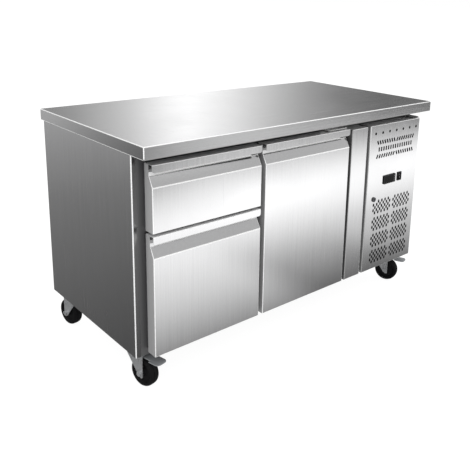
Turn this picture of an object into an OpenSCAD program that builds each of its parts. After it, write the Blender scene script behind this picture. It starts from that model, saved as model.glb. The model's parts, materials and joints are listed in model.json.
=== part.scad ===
// Refrigerated counter on castors: two drawers, one hinged door, a fixed filler
// panel and a machine bay behind a perforated service panel.
// The origin is on the floor, under the middle of the worktop. Front is -Y.

/* [Worktop] */
// Width of the worktop and of the whole counter
counter_w = 1360; // [1320:10:1500]
// Depth of the worktop and of the whole counter
counter_d = 700; // [690:10:800]
// Height of the worktop's edge
worktop_h = 40; // [30:1:60]
// Width of the flange folded back under the worktop
worktop_return = 22; // [15:1:40]

/* [Body] */
// Height of the body from its base panel to the worktop
body_h = 660; // [640:5:720]
// Distance of each body side from the end of the worktop
side_inset = 10; // [4:1:14]
// Distance of the body's front face from the worktop's front edge
front_setback = 90; // [80:1:110]
// Distance of the body's back from the worktop's back edge
back_setback = 2; // [0:1:12]
// Thickness of the outer sheet
sheet_t = 1.2; // [1:0.1:1.5]
// Thickness of the inner liner
liner_t = 1; // [0.8:0.1:1.5]
// Insulated wall from outside to inside, sides and back
wall_t = 50; // [45:1:60]
// Insulated floor from outside to inside
floor_t = 36; // [30:1:37]
// Insulated ceiling from outside to inside
ceiling_t = 44; // [35:1:46]
// Depth of the frame round the openings
frame_depth = 28; // [20:1:40]
// Width of the side panels' folded front edge
corner_strip_w = 18; // [12:1:25]
// Width of the machine bay at the right
machine_bay_w = 340; // [330:5:360]

/* [Fronts] */
// Gap between the worktop and the top of the drawer and door fronts
front_top_gap = 27; // [24:1:40]
// Height of the fronts' lower edge above the body's base
front_bottom_gap = 18; // [14:1:30]
// Space left of the drawer fronts
left_margin = 35; // [30:1:45]
// Space right of the service panel
right_margin = 12; // [8:1:20]
// Width of the drawer fronts
drawer_w = 418; // [400:1:430]
// Gap between drawers and door
mullion_gap = 19; // [14:1:26]
// Gap between door and filler panel
door_gap = 14; // [13:1:20]
// Width of the filler panel
filler_w = 90; // [70:1:95]
// Gap between filler panel and service panel
grille_gap = 15; // [12:1:20]
// Width of the service panel
grille_w = 320; // [318:1:330]
// Height of the upper drawer's front
upper_front_h = 210; // [200:1:240]
// Gap between the two drawer fronts
drawer_gap = 10; // [6:1:16]
// How much lower the filler and service panels end at the top
panel_drop = 5; // [0:1:10]
// Thickness of a drawer front or the door
front_t = 42; // [38:1:50]
// Space for the gasket between a front and the body
gasket_t = 16; // [14:1:18]
// Width of the gasket
gasket_w = 14; // [10:1:15]
// Distance of a drawer's gasket from the edge of its front
drawer_seal_inset = 5; // [4:1:8]
// Distance of the door's gasket from the edge of the door
door_seal_inset = 25; // [25:1:32]

/* [Handles] */
// Height of the lip that hangs in front of the finger pocket
lip_h = 24; // [18:1:30]
// Depth of the finger pocket
pocket_d = 20; // [16:1:20]
// Height of the pocket's upright back
pocket_h = 35; // [32:1:50]
// Height of the slope from the pocket down to the face
slope_h = 34; // [20:1:40]
// Radius of the lip's lower corners
lip_r = 8; // [3:1:12]

/* [Door hinge] */
// Distance of the hinge pins from the door's right edge
hinge_inset = 25; // [24:1:26]
// Distance of the hinge pins behind the door's face
hinge_back = 26; // [25.8:0.1:26.6]
// Diameter of the door's hinge pins
hinge_pin_d = 8; // [6:0.5:8]
// Diameter of the bushes in the door
bush_d = 11; // [10.6:0.2:11.6]
// Length of the bushes in the door
bush_l = 22; // [14:1:40]
// Thickness of the hinge brackets
bracket_t = 3; // [2:0.5:4]
// Width of the upper hinge bracket
top_bracket_w = 95; // [60:1:110]
// Width of the lower hinge bracket
low_bracket_w = 50; // [44:1:80]
// Height of the washer between a bracket and its leaf
washer_h = 2; // [1:0.5:3]

/* [Service panel] */
// Gap between the service panel's flanges and the body
panel_clear = 6; // [5:0.5:10]
// Distance of the panel's pivots from its right edge
pivot_inset = 15; // [12:1:16]
// Distance of the panel's pivots behind its face
pivot_back = 15; // [14:1:18]
// Diameter of the panel's pivot pins
pivot_d = 6; // [5:0.5:8]
// Sideways shift of the vents from the panel's middle
vent_shift = 6; // [0:1:8]
// Diameter of the round holes in the top row
top_hole_d = 11; // [6:0.5:12]
// Spacing of the round holes in the top row
top_hole_pitch = 43.5; // [40:0.5:45]
// Depth of the top row below the panel's top
top_hole_down = 33; // [25:1:36]
// Width of a vent slot
slot_w = 8; // [4:0.5:9]
// Length of a vent slot
slot_l = 17.5; // [14:0.5:20]
// Spacing of the vent slots
slot_pitch = 14.9; // [14:0.1:15.5]
// Extra space in the middle of the rows of leaning slots
slot_split = 4; // [3:0.5:6]
// Lean of the slots in the first and third rows
slot_lean = 25; // [0:1:30]
// Depth of the first slot row below the panel's top
slot_down = 71; // [66:1:76]
// Distance between slot rows
slot_row_gap = 28.4; // [28:0.2:34]
// Width of the perforations
perf_w = 9.5; // [6:0.5:10]
// Height of the perforations
perf_l = 14; // [10:0.5:15]
// Spacing of perforations in a row
perf_pitch = 21; // [18:0.5:22]
// Distance between perforation rows
perf_row = 11.5; // [11:0.1:13]
// Depth of the first perforation row below the panel's top
perf_down = 318; // [312:1:324]
// Distance between perforation blocks, downwards
perf_block = 71.5; // [68:0.5:74]
// Distance between the two columns of blocks
perf_column = 128; // [126:1:132]

/* [Controls] */
// Width of the temperature controller's face
control_w = 75; // [70:1:86]
// Height of the temperature controller's face
control_h = 36; // [32:1:40]
// Thickness of the controller's face
control_face_t = 4; // [3:0.5:6]
// Depth of the controller's case behind the panel
control_case_d = 40; // [30:1:45]
// Depth of the controls' middle below the panel's top
control_down = 233; // [220:1:250]
// Side of a push button
button_s = 6; // [5:0.5:7]
// Travel of a push button
button_travel = 1; // [0.6:0.1:1.5]
// Width of the power switch
switch_w = 27; // [26:1:32]
// Height of the power switch
switch_h = 36; // [32:1:40]
// Gap between controller and switch
switch_gap = 15; // [8:1:18]
// Tilt of the power rocker to each side
rocker_tilt = 8; // [5:1:10]
// Diameter of the lock's face
lock_d = 20; // [18:1:24]
// Depth of the lock below the panel's top
lock_down = 305; // [300:1:308]
// Distance of the lock from the panel's left edge
lock_x = 48; // [44:1:50]
// Length of the lock's cam
cam_l = 60; // [56:1:62]

/* [Drawers] */
// Space between the drawer boxes and the liner's back
box_rear = 74; // [64:5:150]
// Height of the upper drawer's box
upper_box_h = 126; // [90:1:130]
// Height of the lower drawer's box
lower_box_h = 290; // [200:1:300]
// Sheet of the drawer boxes
box_t = 1.2; // [1:0.1:2]
// Height of the slide's outer member
slide_h = 46; // [40:1:50]
// Width of one slide from body to drawer box
slide_w = 13; // [12.5:0.5:16]
// Wall of the slide's members
slide_t = 1.5; // [1.2:0.1:1.8]
// Space between the opening's edge and the slide
slide_side = 2; // [1:0.5:4]
// Height of the slide's middle above the underside of the front
slide_up = 56; // [52:1:70]

/* [Shelf] */
// Height of the shelf above the compartment's floor
shelf_up = 280; // [150:10:450]
// Distance between the wires of the shelf
wire_pitch = 20; // [16:1:30]
// Thickness of the shelf's wires
wire_d = 4; // [3:0.5:5]
// Depth of the rack's posts
post_d = 25; // [20:1:35]
// Width of the rack's posts
post_w = 10; // [8:1:12]
// Width of the shelf's runners
runner_w = 20; // [15:1:30]

/* [Castors] */
// Height of a castor, from the floor to the base panel
castor_h = 130; // [125:1:150]
// Diameter of a wheel
wheel_d = 100; // [90:1:104]
// Width of a wheel
wheel_w = 36; // [30:1:40]
// Distance of the axle from the swivel's axis
trail = 32; // [24:1:34]
// Diameter of an axle bolt
axle_d = 10; // [8:1:12]
// Diameter of a swivel's pin
kingpin_d = 12; // [10:1:16]
// Side of the castor's mounting plate
castor_plate = 84; // [76:1:88]
// Thickness of the fork's sheet
fork_t = 3; // [2.5:0.5:4]
// Distance of the swivels from the body's sides
castor_side = 46; // [44:1:60]
// Distance of the front swivels from the body's front face
castor_front = 68; // [60:1:80]
// Distance of the rear swivels from the body's back
castor_back = 84; // [84:1:110]
// Width of a brake pedal
pedal_w = 44; // [36:1:48]
// Length of a brake pedal in front of the wheel's axle
pedal_l = 82; // [66:1:86]

/* [Machinery] */
// Diameter of the compressor
compressor_d = 150; // [130:1:160]
// Height of the compressor's shell
compressor_h = 165; // [140:1:190]
// Diameter of the condenser's fan
fan_d = 200; // [170:1:220]
// Diameter of the evaporator's fan
small_fan_d = 110; // [90:1:120]
// Depth of the duct that holds the evaporator
evap_duct_w = 88; // [80:1:95]
// Diameter of the refrigerant pipes
pipe_d = 10; // [8:1:12]

/* [Clearances] */
// Gap between parts that slide or turn past each other
run_gap = 0.4; // [0.3:0.05:0.5]
// Radial gap of a pin in its bore
pin_gap = 0.05; // [0.02:0.01:0.09]
// Gap between a gasket and the face it seals on
soft_gap = 0.4; // [0.3:0.05:0.6]
// Seam between the bars of the front frame
seam_gap = 0.2; // [0.1:0.05:0.4]

/* [Hidden] */
$fn = 48;

// Body outline
x_left = side_inset - counter_w / 2;
x_right = -x_left;
y_front = front_setback - counter_d / 2;
y_back = counter_d / 2 - back_setback;
z_base = castor_h;
z_top = castor_h + body_h;

// Compartment inside the liner
bay_x = x_right - machine_bay_w;
cav_l = x_left + wall_t;
cav_r = bay_x - wall_t + 5;
cav_f = y_front + frame_depth + liner_t;
cav_b = y_back - wall_t;
cav_z0 = z_base + floor_t;
cav_z1 = z_top - ceiling_t;

// Fronts
face_y = y_front - gasket_t - front_t;
front_z0 = z_base + front_bottom_gap;
front_z1 = z_top - front_top_gap;
front_h = front_z1 - front_z0;
lower_front_h = front_h - upper_front_h - drawer_gap;
upper_z0 = front_z1 - upper_front_h;
drawer_x = x_left + left_margin;
door_x = drawer_x + drawer_w + mullion_gap;
grille_x = x_right - right_margin - grille_w;
filler_x = grille_x - grille_gap - filler_w;
door_w = filler_x - door_gap - door_x;
frame_seam_x = filler_x + filler_w / 2;
panel_h = front_h - panel_drop;
seal_margin = 1;
drawer_inset = drawer_seal_inset + gasket_w + seal_margin;
door_inset = door_seal_inset + gasket_w + seal_margin;

// Slides, box and rack, all placed from the drawers' opening
open_l = drawer_x + drawer_inset;
open_r = drawer_x + drawer_w - drawer_inset;
box_w = open_r - open_l - 2 * (slide_w + slide_side);
box_up = 26;
box_l = cav_b - box_rear - face_y - front_t;
rail_y0 = cav_f + run_gap;
rail_y1 = face_y + front_t + box_l + 40;
middle_h = slide_h - 2 * slide_t - 2 * run_gap;
middle_x = open_l + slide_side + slide_t + 2;
middle_w = slide_w - slide_t - 4.5;
inner_h = middle_h - 2 * slide_t - 2 * run_gap;
inner_x = middle_x + slide_t + 1.5;
cover_x = cav_r - evap_duct_w;
rack_gap = 6;
shelf_x0 = door_x + door_inset + rack_gap;
shelf_x1 = door_x + door_w - door_inset - rack_gap;
shelf_z = cav_z0 + shelf_up;

// Service panel's controls
panel_mid = grille_w / 2 + vent_shift;
control_x = (grille_w - control_w - switch_gap - switch_w) / 2;
switch_x = control_x + control_w + switch_gap;
case_gap = 3;
button_out = 0.3;
button_x = control_x + control_w - 9;
perf_rows = 5;
perf_blocks = 1 + floor((panel_h - perf_down - (perf_rows - 1) * perf_row - 15) / perf_block);
button_zs = [for (k = [-1, 0, 1]) panel_h - control_down + k * (button_s + 3)];

// Castors: swivel places, and the way each one points at rest
castor_x = x_right - castor_side;
castor_y0 = y_front + castor_front;
castor_y1 = y_back - castor_back;
headings = [12, 20, 189, 172];
crown_z = castor_h - 15;
wheel_r = wheel_d / 2;
fork_in = wheel_w / 2 + 2;
fork_out = fork_in + fork_t;
nut_h = 7;
pedal_y = -trail + 14;
pedal_z = crown_z - fork_t - nut_h;
pedal_pin_d = 6;

// Machine bay
inlet_x = x_right - 60;
inlet_z = z_base + 90;
inlet_w = 30;
inlet_h = 24;
window_side = 15;
window_strip = 4;
window_low = 45;
window_top = 50;
bay_mid = bay_x + (x_right - bay_x) / 2;
tray_z = z_base + sheet_t;
tray_t = 2;
fan_z = tray_z + tray_t + 30 + fan_d / 2;
coil_y = y_front + 62;
coil_d = 44;
comp_x = bay_mid + 40;
comp_back = 130;
comp_y = y_back - comp_back;
comp_z = tray_z + tray_t + 16;
stub_z = comp_z + compressor_h + 6;
coil_w = machine_bay_w - 100;
coil_h = fan_d + 40;
coil_mid_y = coil_y + coil_d / 2;
coil_x0 = bay_mid - coil_w / 2 - 2;
coil_x1 = bay_mid + coil_w / 2 + 2;
bend_z = tray_z + tray_t + 30;
bend_pitch = 44;
fan_gap = 16;
fan_hub_d = 54;
fan_hub_l = 18;
fan_chord = 60;
fan_shaft_d = 8;
fan_motor_d = 70;
fan_motor_l = 45;
fan_motor_gap = 46;
small_fan_gap = 8;
small_hub_d = 34;
small_hub_l = 16;
small_chord = 30;
small_shaft_d = 6;
terminal_w = 50;
terminal_d = 130;
terminal_h = 110;
terminal_back = 140;
terminal_down = 190;
terminal_t = 2;
relay_size = [28, 38, 28];
drier_d = 22;
drier_l = 90;
drier_down = 260;
evap_pipe_in = 30;
stub_out = 30;
gas_in = 26;
gas_up = 24;
intake_in = 70;
pipe_y = 120;
pipe_gap = 40;
pipe_z = cav_z1 - 60;
evap_fan_y = 40;
evap_fan_z = cav_z1 - 40 - small_fan_d / 2;
evap_coil_h = evap_fan_z - small_fan_d / 2 - cav_z0 - 60;

// Box from one corner to the opposite one
module block(a, b) {
    translate(a) cube(b - a);
}

// Outline drawn in Y and Z, drawn out along +X by w
module prism_x(points, w) {
    rotate([90, 0, 90]) linear_extrude(w) polygon(points);
}

// Flat plate in X and Z with round corners, t thick along +Y
module round_plate(w, h, r, t) {
    for (i = [0, 1], k = [0, 1])
        translate([i ? w - r : r, 0, k ? h - r : r]) rotate([-90, 0, 0]) cylinder(r = r, h = t);
    block([r, 0, 0], [w - r, t, h]);
    block([0, 0, r], [w, t, h - r]);
}

// Upright ring round a w by h front: inset from its edge, rim wide, y0 to y1
module ring(w, h, inset, rim, y0, y1) {
    difference() {
        block([inset, y0, inset], [w - inset, y1, h - inset]);
        block([inset + rim, y0 - 1, inset + rim], [w - inset - rim, y1 + 1, h - inset - rim]);
    }
}

// Height of the slope's inner side at depth y in a front h high
function slope_in(y, h) =
    let (len = sqrt(pocket_d * pocket_d + slope_h * slope_h))
    h - pocket_h - slope_h - sheet_t * pocket_d / len
    + slope_h / pocket_d * (y - sheet_t * slope_h / len);

// Outline of a front with its finger pocket, seen from the side
function front_outline(h) = [
    [front_t, 0], [0, 0], [0, h - pocket_h - slope_h],
    [pocket_d, h - pocket_h], [pocket_d, h], [front_t, h]
];

// The same outline one sheet inside, as deep as y_end
function inner_outline(h, y_end) = [
    [y_end, sheet_t], [sheet_t, sheet_t], [sheet_t, slope_in(sheet_t, h)],
    [pocket_d + sheet_t, slope_in(pocket_d + sheet_t, h)],
    [pocket_d + sheet_t, h - sheet_t], [y_end, h - sheet_t]
];

// Folded sheet of a drawer front or door, with the lip over its finger pocket
module front_skin(w, h) {
    difference() {
        prism_x(front_outline(h), w);
        translate([sheet_t, 0, 0]) prism_x(inner_outline(h, front_t + 1), w - 2 * sheet_t);
    }
    block([0, 0, h - sheet_t], [w, pocket_d, h]);
    translate([0, 0, h - lip_h]) block([0, 0, lip_r], [w, sheet_t, lip_h]);
    translate([0, 0, h - lip_h]) block([lip_r, 0, 0], [w - lip_r, sheet_t, lip_r]);
    for (x = [lip_r, w - lip_r])
        translate([x, 0, h - lip_h + lip_r]) rotate([-90, 0, 0]) cylinder(r = lip_r, h = sheet_t);
}

// Inner pan that closes the back of a front, with a raised middle
module front_liner(w, h, inset) {
    raised = inset + 14;
    block([sheet_t, front_t - sheet_t, sheet_t], [w - sheet_t, front_t, h - sheet_t]);
    difference() {
        block([raised, front_t, raised], [w - raised, front_t + 6, h - raised]);
        block([raised + liner_t, front_t - sheet_t / 2, raised + liner_t],
              [w - raised - liner_t, front_t + 6 - liner_t, h - raised - liner_t]);
    }
}

// Insulation between the skin and the inner pan
module front_foam(w, h) {
    translate([sheet_t, 0, 0])
        prism_x(inner_outline(h, front_t - sheet_t), w - 2 * sheet_t);
}

// Magnetic gasket: foot, bellows and magnet strip
module front_gasket(w, h, inset) {
    y1 = front_t + gasket_t - soft_gap;
    ring(w, h, inset, gasket_w, front_t, front_t + 3);
    ring(w, h, inset + 3, gasket_w - 6, front_t + 3, y1 - 5);
    ring(w, h, inset, gasket_w, y1 - 5, y1);
}

module at_door() { translate([door_x, face_y, front_z0]) children(); }
module at_upper() { translate([drawer_x, face_y, upper_z0]) children(); }
module at_lower() { translate([drawer_x, face_y, front_z0]) children(); }
module at_panel() { translate([grille_x, face_y, front_z0]) children(); }

// Worktop: folded sheet with a flange under its edge
module worktop() {
    w = counter_w / 2;
    d = counter_d / 2;
    color("silver") difference() {
        block([-w, -d, z_top], [w, d, z_top + worktop_h]);
        block([sheet_t - w, sheet_t - d, z_top + sheet_t],
              [w - sheet_t, d - sheet_t, z_top + worktop_h - sheet_t]);
        block([worktop_return - w, worktop_return - d, z_top - 1],
              [w - worktop_return, d - worktop_return, z_top + sheet_t + 1]);
    }
}

// Insulation that fills the worktop and rests on the body
module worktop_core() {
    w = counter_w / 2;
    d = counter_d / 2;
    color("khaki") {
        block([sheet_t - w, sheet_t - d, z_top + sheet_t],
              [w - sheet_t, d - sheet_t, z_top + worktop_h - sheet_t]);
        block([worktop_return - w, worktop_return - d, z_top],
              [w - worktop_return, d - worktop_return, z_top + sheet_t]);
    }
}

// Side of the body with its folded front edge
module side_panel(side) {
    mirror([side, 0, 0]) {
        block([x_left, y_front, z_base], [x_left + sheet_t, y_back, z_top]);
        block([x_left, y_front, z_base], [x_left + corner_strip_w, y_front + sheet_t, z_top]);
    }
}

module left_side_panel() { color("gray") side_panel(0); }
module right_side_panel() { color("gray") side_panel(1); }

// Back of the body with louvre slots behind the machine bay
module back_panel() {
    slot_length = (machine_bay_w - 100) / 2;
    color("silver") difference() {
        block([x_left + sheet_t, y_back - sheet_t, z_base],
              [x_right - sheet_t, y_back, z_top]);
        for (i = [0, 1], k = [0:11])
            translate([bay_x + 35 + i * (slot_length + 20), y_back - sheet_t - 1,
                       z_top - 120 - k * 22])
                cube([slot_length, sheet_t + 2, 8]);
        translate([inlet_x, y_back, inlet_z])
            block([-inlet_w / 2, -sheet_t - 1, -inlet_h / 2],
                  [inlet_w / 2, 1, inlet_h / 2]);
    }
}

// Underside of the body
module base_panel() {
    color("dimgray")
        block([x_left + sheet_t, y_front + sheet_t, z_base],
              [x_right - sheet_t, y_back - sheet_t, z_base + sheet_t]);
}

// Sheet between the insulated body and the machine bay
module bay_partition() {
    color("silver") difference() {
        block([bay_x - sheet_t, y_front + sheet_t, z_base + sheet_t],
              [bay_x, y_back - sheet_t, z_top]);
        pipe_holes();
    }
}

// Holes for the two refrigerant pipes through the insulated wall
module pipe_holes() {
    for (dy = [0, pipe_gap])
        translate([cav_r - liner_t - 5, pipe_y + dy, pipe_z]) rotate([0, 90, 0])
            cylinder(d = pipe_d + 2 * run_gap, h = bay_x - cav_r + 20);
}

// The three openings of the insulated body, from y0 to y1, grown by g
module opening_blocks(y0, y1, g) {
    block([open_l - g, y0, front_z0 + drawer_inset - g],
          [open_r + g, y1, front_z0 + lower_front_h - drawer_inset + g]);
    block([open_l - g, y0, upper_z0 + drawer_inset - g],
          [open_r + g, y1, front_z1 - drawer_inset + g]);
    block([door_x + door_inset - g, y0, front_z0 + door_inset - g],
          [door_x + door_w - door_inset + g, y1, front_z1 - door_inset + g]);
}

// Insulation between the outer sheet and the liner
module cabinet_foam() {
    color("khaki") difference() {
        block([x_left + sheet_t, y_front + sheet_t, z_base + sheet_t],
              [bay_x - sheet_t, y_back - sheet_t, z_top]);
        block([cav_l - liner_t, y_front + frame_depth, cav_z0 - liner_t],
              [cav_r + liner_t, cav_b + liner_t, cav_z1 + liner_t]);
        opening_blocks(y_front, y_front + frame_depth + 1, sheet_t);
        pipe_holes();
    }
}

// Inner box with its three openings
module inner_liner() {
    color("gainsboro") difference() {
        block([cav_l - liner_t, y_front + frame_depth, cav_z0 - liner_t],
              [cav_r + liner_t, cav_b + liner_t, cav_z1 + liner_t]);
        block([cav_l, cav_f, cav_z0], [cav_r, cav_b, cav_z1]);
        opening_blocks(y_front, cav_f + 1, 0);
        pipe_holes();
    }
}

// Sheet of the front frame with flanges folded in round the openings, in one piece
module frame_sheet() {
    difference() {
        union() {
            block([x_left + corner_strip_w, y_front, z_base],
                  [x_right - corner_strip_w, y_front + sheet_t, z_top]);
            opening_blocks(y_front, y_front + frame_depth, sheet_t);
        }
        opening_blocks(y_front - 1, y_front + frame_depth + 1, 0);
    }
}

// Bar of the front frame between x0 and x1, z0 and z1
module frame_bar(x0, x1, z0, z1) {
    intersection() {
        frame_sheet();
        block([x0, y_front - 1, z0], [x1, y_front + frame_depth + 1, z1]);
    }
}

// Front of the body: stiles and rails with a hairline seam between them
module front_frame() {
    door_l = door_x + door_inset;
    door_r = door_x + door_w - door_inset;
    window_l = bay_x + window_side;
    window_r = x_right - corner_strip_w - window_strip;
    color("lightgray") {
        frame_bar(x_left + corner_strip_w, open_l, z_base, z_top);
        frame_bar(open_r, door_l, z_base, z_top);
        frame_bar(door_r, frame_seam_x, z_base, z_top);
        frame_bar(frame_seam_x + seam_gap, window_l, z_base, z_top);
        frame_bar(window_r, x_right - corner_strip_w, z_base, z_top);
        for (z = [[z_base, front_z0 + drawer_inset],
                  [front_z0 + lower_front_h - drawer_inset, upper_z0 + drawer_inset],
                  [front_z1 - drawer_inset, z_top]])
            frame_bar(open_l + seam_gap, open_r - seam_gap, z[0], z[1]);
        for (z = [[z_base, front_z0 + door_inset], [front_z1 - door_inset, z_top]])
            frame_bar(door_l + seam_gap, door_r - seam_gap, z[0], z[1]);
        for (z = [[z_base, z_base + window_low], [z_top - window_top, z_top]])
            frame_bar(window_l + seam_gap, window_r - seam_gap, z[0], z[1]);
    }
}

// Fixed panel between the door and the service panel
module filler_panel() {
    color("lightgray") translate([filler_x, face_y, front_z0]) difference() {
        block([0, 0, 0], [filler_w, y_front - face_y, panel_h]);
        block([sheet_t, sheet_t, sheet_t],
              [filler_w - sheet_t, y_front - face_y + 1, panel_h - sheet_t]);
    }
}

// Bracket seen from above, w wide, its right end at x = 0, with a flange up the body
module leaf_bracket(w, reach, flange_h) {
    block([-w, -reach, 0], [0, 0, bracket_t]);
    block([-w, -bracket_t, bracket_t], [0, 0, flange_h]);
    for (x = [15 - w, -15])
        translate([x, -bracket_t, (flange_h + bracket_t) / 2]) rotate([90, 0, 0])
            cylinder(d = 8, h = 1.5);
}

// Brackets and pins of the door and of the service panel
module hinge_brackets() {
    door_right = door_x + door_w - 5;
    door_pin = [door_x + door_w - hinge_inset, face_y + hinge_back];
    panel_right = grille_x + grille_w;
    panel_pin = [panel_right - pivot_inset, face_y + pivot_back];
    reach = y_front - face_y;
    panel_z1 = front_z0 + panel_h;
    color("whitesmoke") {
        translate([door_right, y_front, front_z1 + washer_h])
            leaf_bracket(top_bracket_w, reach - 14, front_top_gap - washer_h - 3);
        translate([door_right, y_front, front_z0 - washer_h]) mirror([0, 0, 1])
            leaf_bracket(low_bracket_w, reach - 14, front_bottom_gap - washer_h - 1);
        hinge_pin(door_pin, front_z1, hinge_pin_d, 16, 1);
        hinge_pin(door_pin, front_z0, hinge_pin_d, 16, -1);
        translate([panel_right, y_front, panel_z1 + washer_h])
            leaf_bracket(40, reach - 8, 20);
        translate([panel_right, y_front, front_z0 - washer_h]) mirror([0, 0, 1])
            leaf_bracket(40, reach - 8, front_bottom_gap - washer_h - 1);
        hinge_pin(panel_pin, panel_z1, pivot_d, 8, 1);
        hinge_pin(panel_pin, front_z0, pivot_d, 8, -1);
    }
}

// Pin that reaches depth into a leaf from its end at z, with a washer outside
module hinge_pin(at, z, d, depth, way) {
    translate([at[0], at[1], z]) mirror([0, 0, way < 0 ? 1 : 0]) {
        translate([0, 0, -depth]) cylinder(d = d, h = depth + washer_h);
        translate([0, 0, run_gap]) cylinder(d = d + 6, h = washer_h - run_gap);
    }
}

// Channel of a slide, open towards +X, from rail_y0 to rail_y1 around height z
module slide_channel(x, z, w, h) {
    block([x, rail_y0, z - h / 2], [x + slide_t, rail_y1, z + h / 2]);
    for (s = [0, 1])
        block([x, rail_y0, z + (s ? h / 2 - slide_t : -h / 2)],
              [x + w, rail_y1, z + (s ? h / 2 : slide_t - h / 2)]);
}

// Both sides of a drawer's slide, mirrored about the middle of the opening
module both_sides() {
    mid = (open_l + open_r) / 2;
    children();
    translate([2 * mid, 0, 0]) mirror([1, 0, 0]) children();
}

// Middle members of a drawer's two slides
module middle_rails(z0) {
    both_sides()
        slide_channel(middle_x, z0 + slide_up, middle_w, middle_h);
}

module upper_middle_rails() { color("silver") middle_rails(upper_z0); }
module lower_middle_rails() { color("silver") middle_rails(front_z0); }

// Posts in the compartments, with the slides' outer members and shelf runners
module inner_rack() {
    rear_y = rail_y1 - post_d - 10;
    color("lightsteelblue") {
        for (y = [cav_f, rear_y]) {
            block([cav_l, y, cav_z0], [open_l + slide_side, y + post_d, cav_z1]);
            block([open_r - slide_side, y, cav_z0],
                  [open_r - slide_side + post_w, y + post_d, cav_z1]);
            block([shelf_x0 - rack_gap - post_w, y, cav_z0],
                  [shelf_x0 - rack_gap, y + post_d, cav_z1]);
            block([shelf_x1 + rack_gap, y, cav_z0],
                  [shelf_x1 + rack_gap + post_w, y + post_d, cav_z1]);
        }
        for (z0 = [upper_z0, front_z0])
            both_sides() slide_channel(open_l + slide_side, z0 + slide_up, slide_w - 2, slide_h);
        for (s = [0, 1]) {
            edge = s ? shelf_x1 + rack_gap : shelf_x0 - rack_gap;
            translate([edge, cav_f, shelf_z]) mirror([s, 0, 0]) {
                block([0, 0, -2], [runner_w, rear_y + post_d - cav_f, 0]);
                block([0, 0, 0], [2, rear_y + post_d - cav_f, 12]);
            }
        }
    }
}

// Wire shelf that lies on the runners
module wire_shelf() {
    y0 = cav_f + 4;
    y1 = cav_b - 6;
    rim = wire_d + 2;
    count = floor((shelf_x1 - shelf_x0 - rim) / wire_pitch);
    first = (shelf_x0 + shelf_x1 - (count - 1) * wire_pitch) / 2;
    color("lightgray") {
        for (x = [shelf_x0, shelf_x1 - rim])
            block([x, y0, shelf_z], [x + rim, y1, shelf_z + rim]);
        for (y = [y0, (y0 + y1 - rim) / 2, y1 - rim])
            block([shelf_x0, y, shelf_z], [shelf_x1, y + rim, shelf_z + rim]);
        for (i = [0:count - 1])
            translate([first + i * wire_pitch, y0, shelf_z + rim]) rotate([-90, 0, 0])
                rotate(22.5) cylinder(d = wire_d, h = y1 - y0, $fn = 8);
    }
}

// Castor mounting plates, bearings and swivel pins
module castor_plates() {
    color("silver") for (i = [0:3]) at_castor(i, false) {
        translate([-castor_plate / 2, -castor_plate / 2, castor_h - 3])
            cube([castor_plate, castor_plate, 3]);
        translate([0, 0, crown_z + run_gap])
            cylinder(d1 = 50, d2 = 60, h = castor_h - 3 - crown_z - run_gap);
        translate([0, 0, crown_z - fork_t - nut_h]) {
            cylinder(d = kingpin_d, h = fork_t + nut_h + 2);
            cylinder(d = kingpin_d + 7, h = nut_h - run_gap, $fn = 6);
        }
        for (x = [-1, 1], y = [-1, 1])
            translate([x * (castor_plate / 2 - 10), y * (castor_plate / 2 - 10), castor_h - 8])
                cylinder(d = 13, h = 5, $fn = 6);
    }
}

// Moves children to castor i, turned the way it points if turned is true
module at_castor(i, turned = true) {
    right = i % 2;
    rear = i > 1 ? 1 : 0;
    translate([right ? castor_x : -castor_x, rear ? castor_y1 : castor_y0, 0])
        rotate([0, 0, turned ? headings[i] : 0]) children();
}

// Fork in its own frame: swivel on the Z axis, wheel towards -Y, bolt across
module fork(braked) {
    bottom = wheel_r - 14;
    front = -trail - 11;
    z1 = crown_z - fork_t;
    outline = [[front, bottom], [front, crown_z], [27, crown_z], [27, z1 - 6],
               [-trail + 6, bottom + 3], [-trail - 4, bottom - 3]];
    color("silver") difference() {
        union() {
            translate([-fork_out, 0, 0]) prism_x(outline, fork_t);
            translate([fork_in, 0, 0]) prism_x(outline, fork_t);
            block([-fork_out, front, z1], [fork_out, 27, crown_z]);
        }
        translate([0, 0, z1 - 1]) cylinder(d = kingpin_d + 2 * pin_gap, h = fork_t + 2);
        translate([-fork_out - 1, -trail, wheel_r]) rotate([0, 90, 0])
            cylinder(d = axle_d + 2 * pin_gap, h = 2 * fork_out + 2);
        if (braked) translate([-fork_out - 1, pedal_y, pedal_z]) rotate([0, 90, 0])
            cylinder(d = pedal_pin_d + 2 * pin_gap, h = 2 * fork_out + 2);
    }
    color("silver") translate([0, -trail, wheel_r]) rotate([0, 90, 0]) {
        translate([0, 0, -fork_out - nut_h]) cylinder(d = axle_d, h = 2 * (fork_out + nut_h));
        for (z = [-fork_out - nut_h, fork_out])
            translate([0, 0, z]) cylinder(d = axle_d + 8, h = nut_h, $fn = 6);
    }
}

// Wheel in the fork's frame, with a crowned tread and dished sides
module wheel() {
    h = wheel_w / 2;
    color("black") translate([0, -trail, wheel_r]) rotate([0, 90, 0]) rotate_extrude($fn = 96)
        polygon([
            [axle_d / 2 + pin_gap, -h], [14, -h], [16, 7 - h], [wheel_r - 16, 7 - h],
            [wheel_r - 13, 1 - h], [wheel_r - 6, 1 - h], [wheel_r - 1.5, 7 - h], [wheel_r, 12 - h],
            [wheel_r, h - 12], [wheel_r - 1.5, h - 7], [wheel_r - 6, h - 1], [wheel_r - 13, h - 1],
            [wheel_r - 16, h - 7], [16, h - 7], [14, h], [axle_d / 2 + pin_gap, h]
        ]);
}

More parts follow.
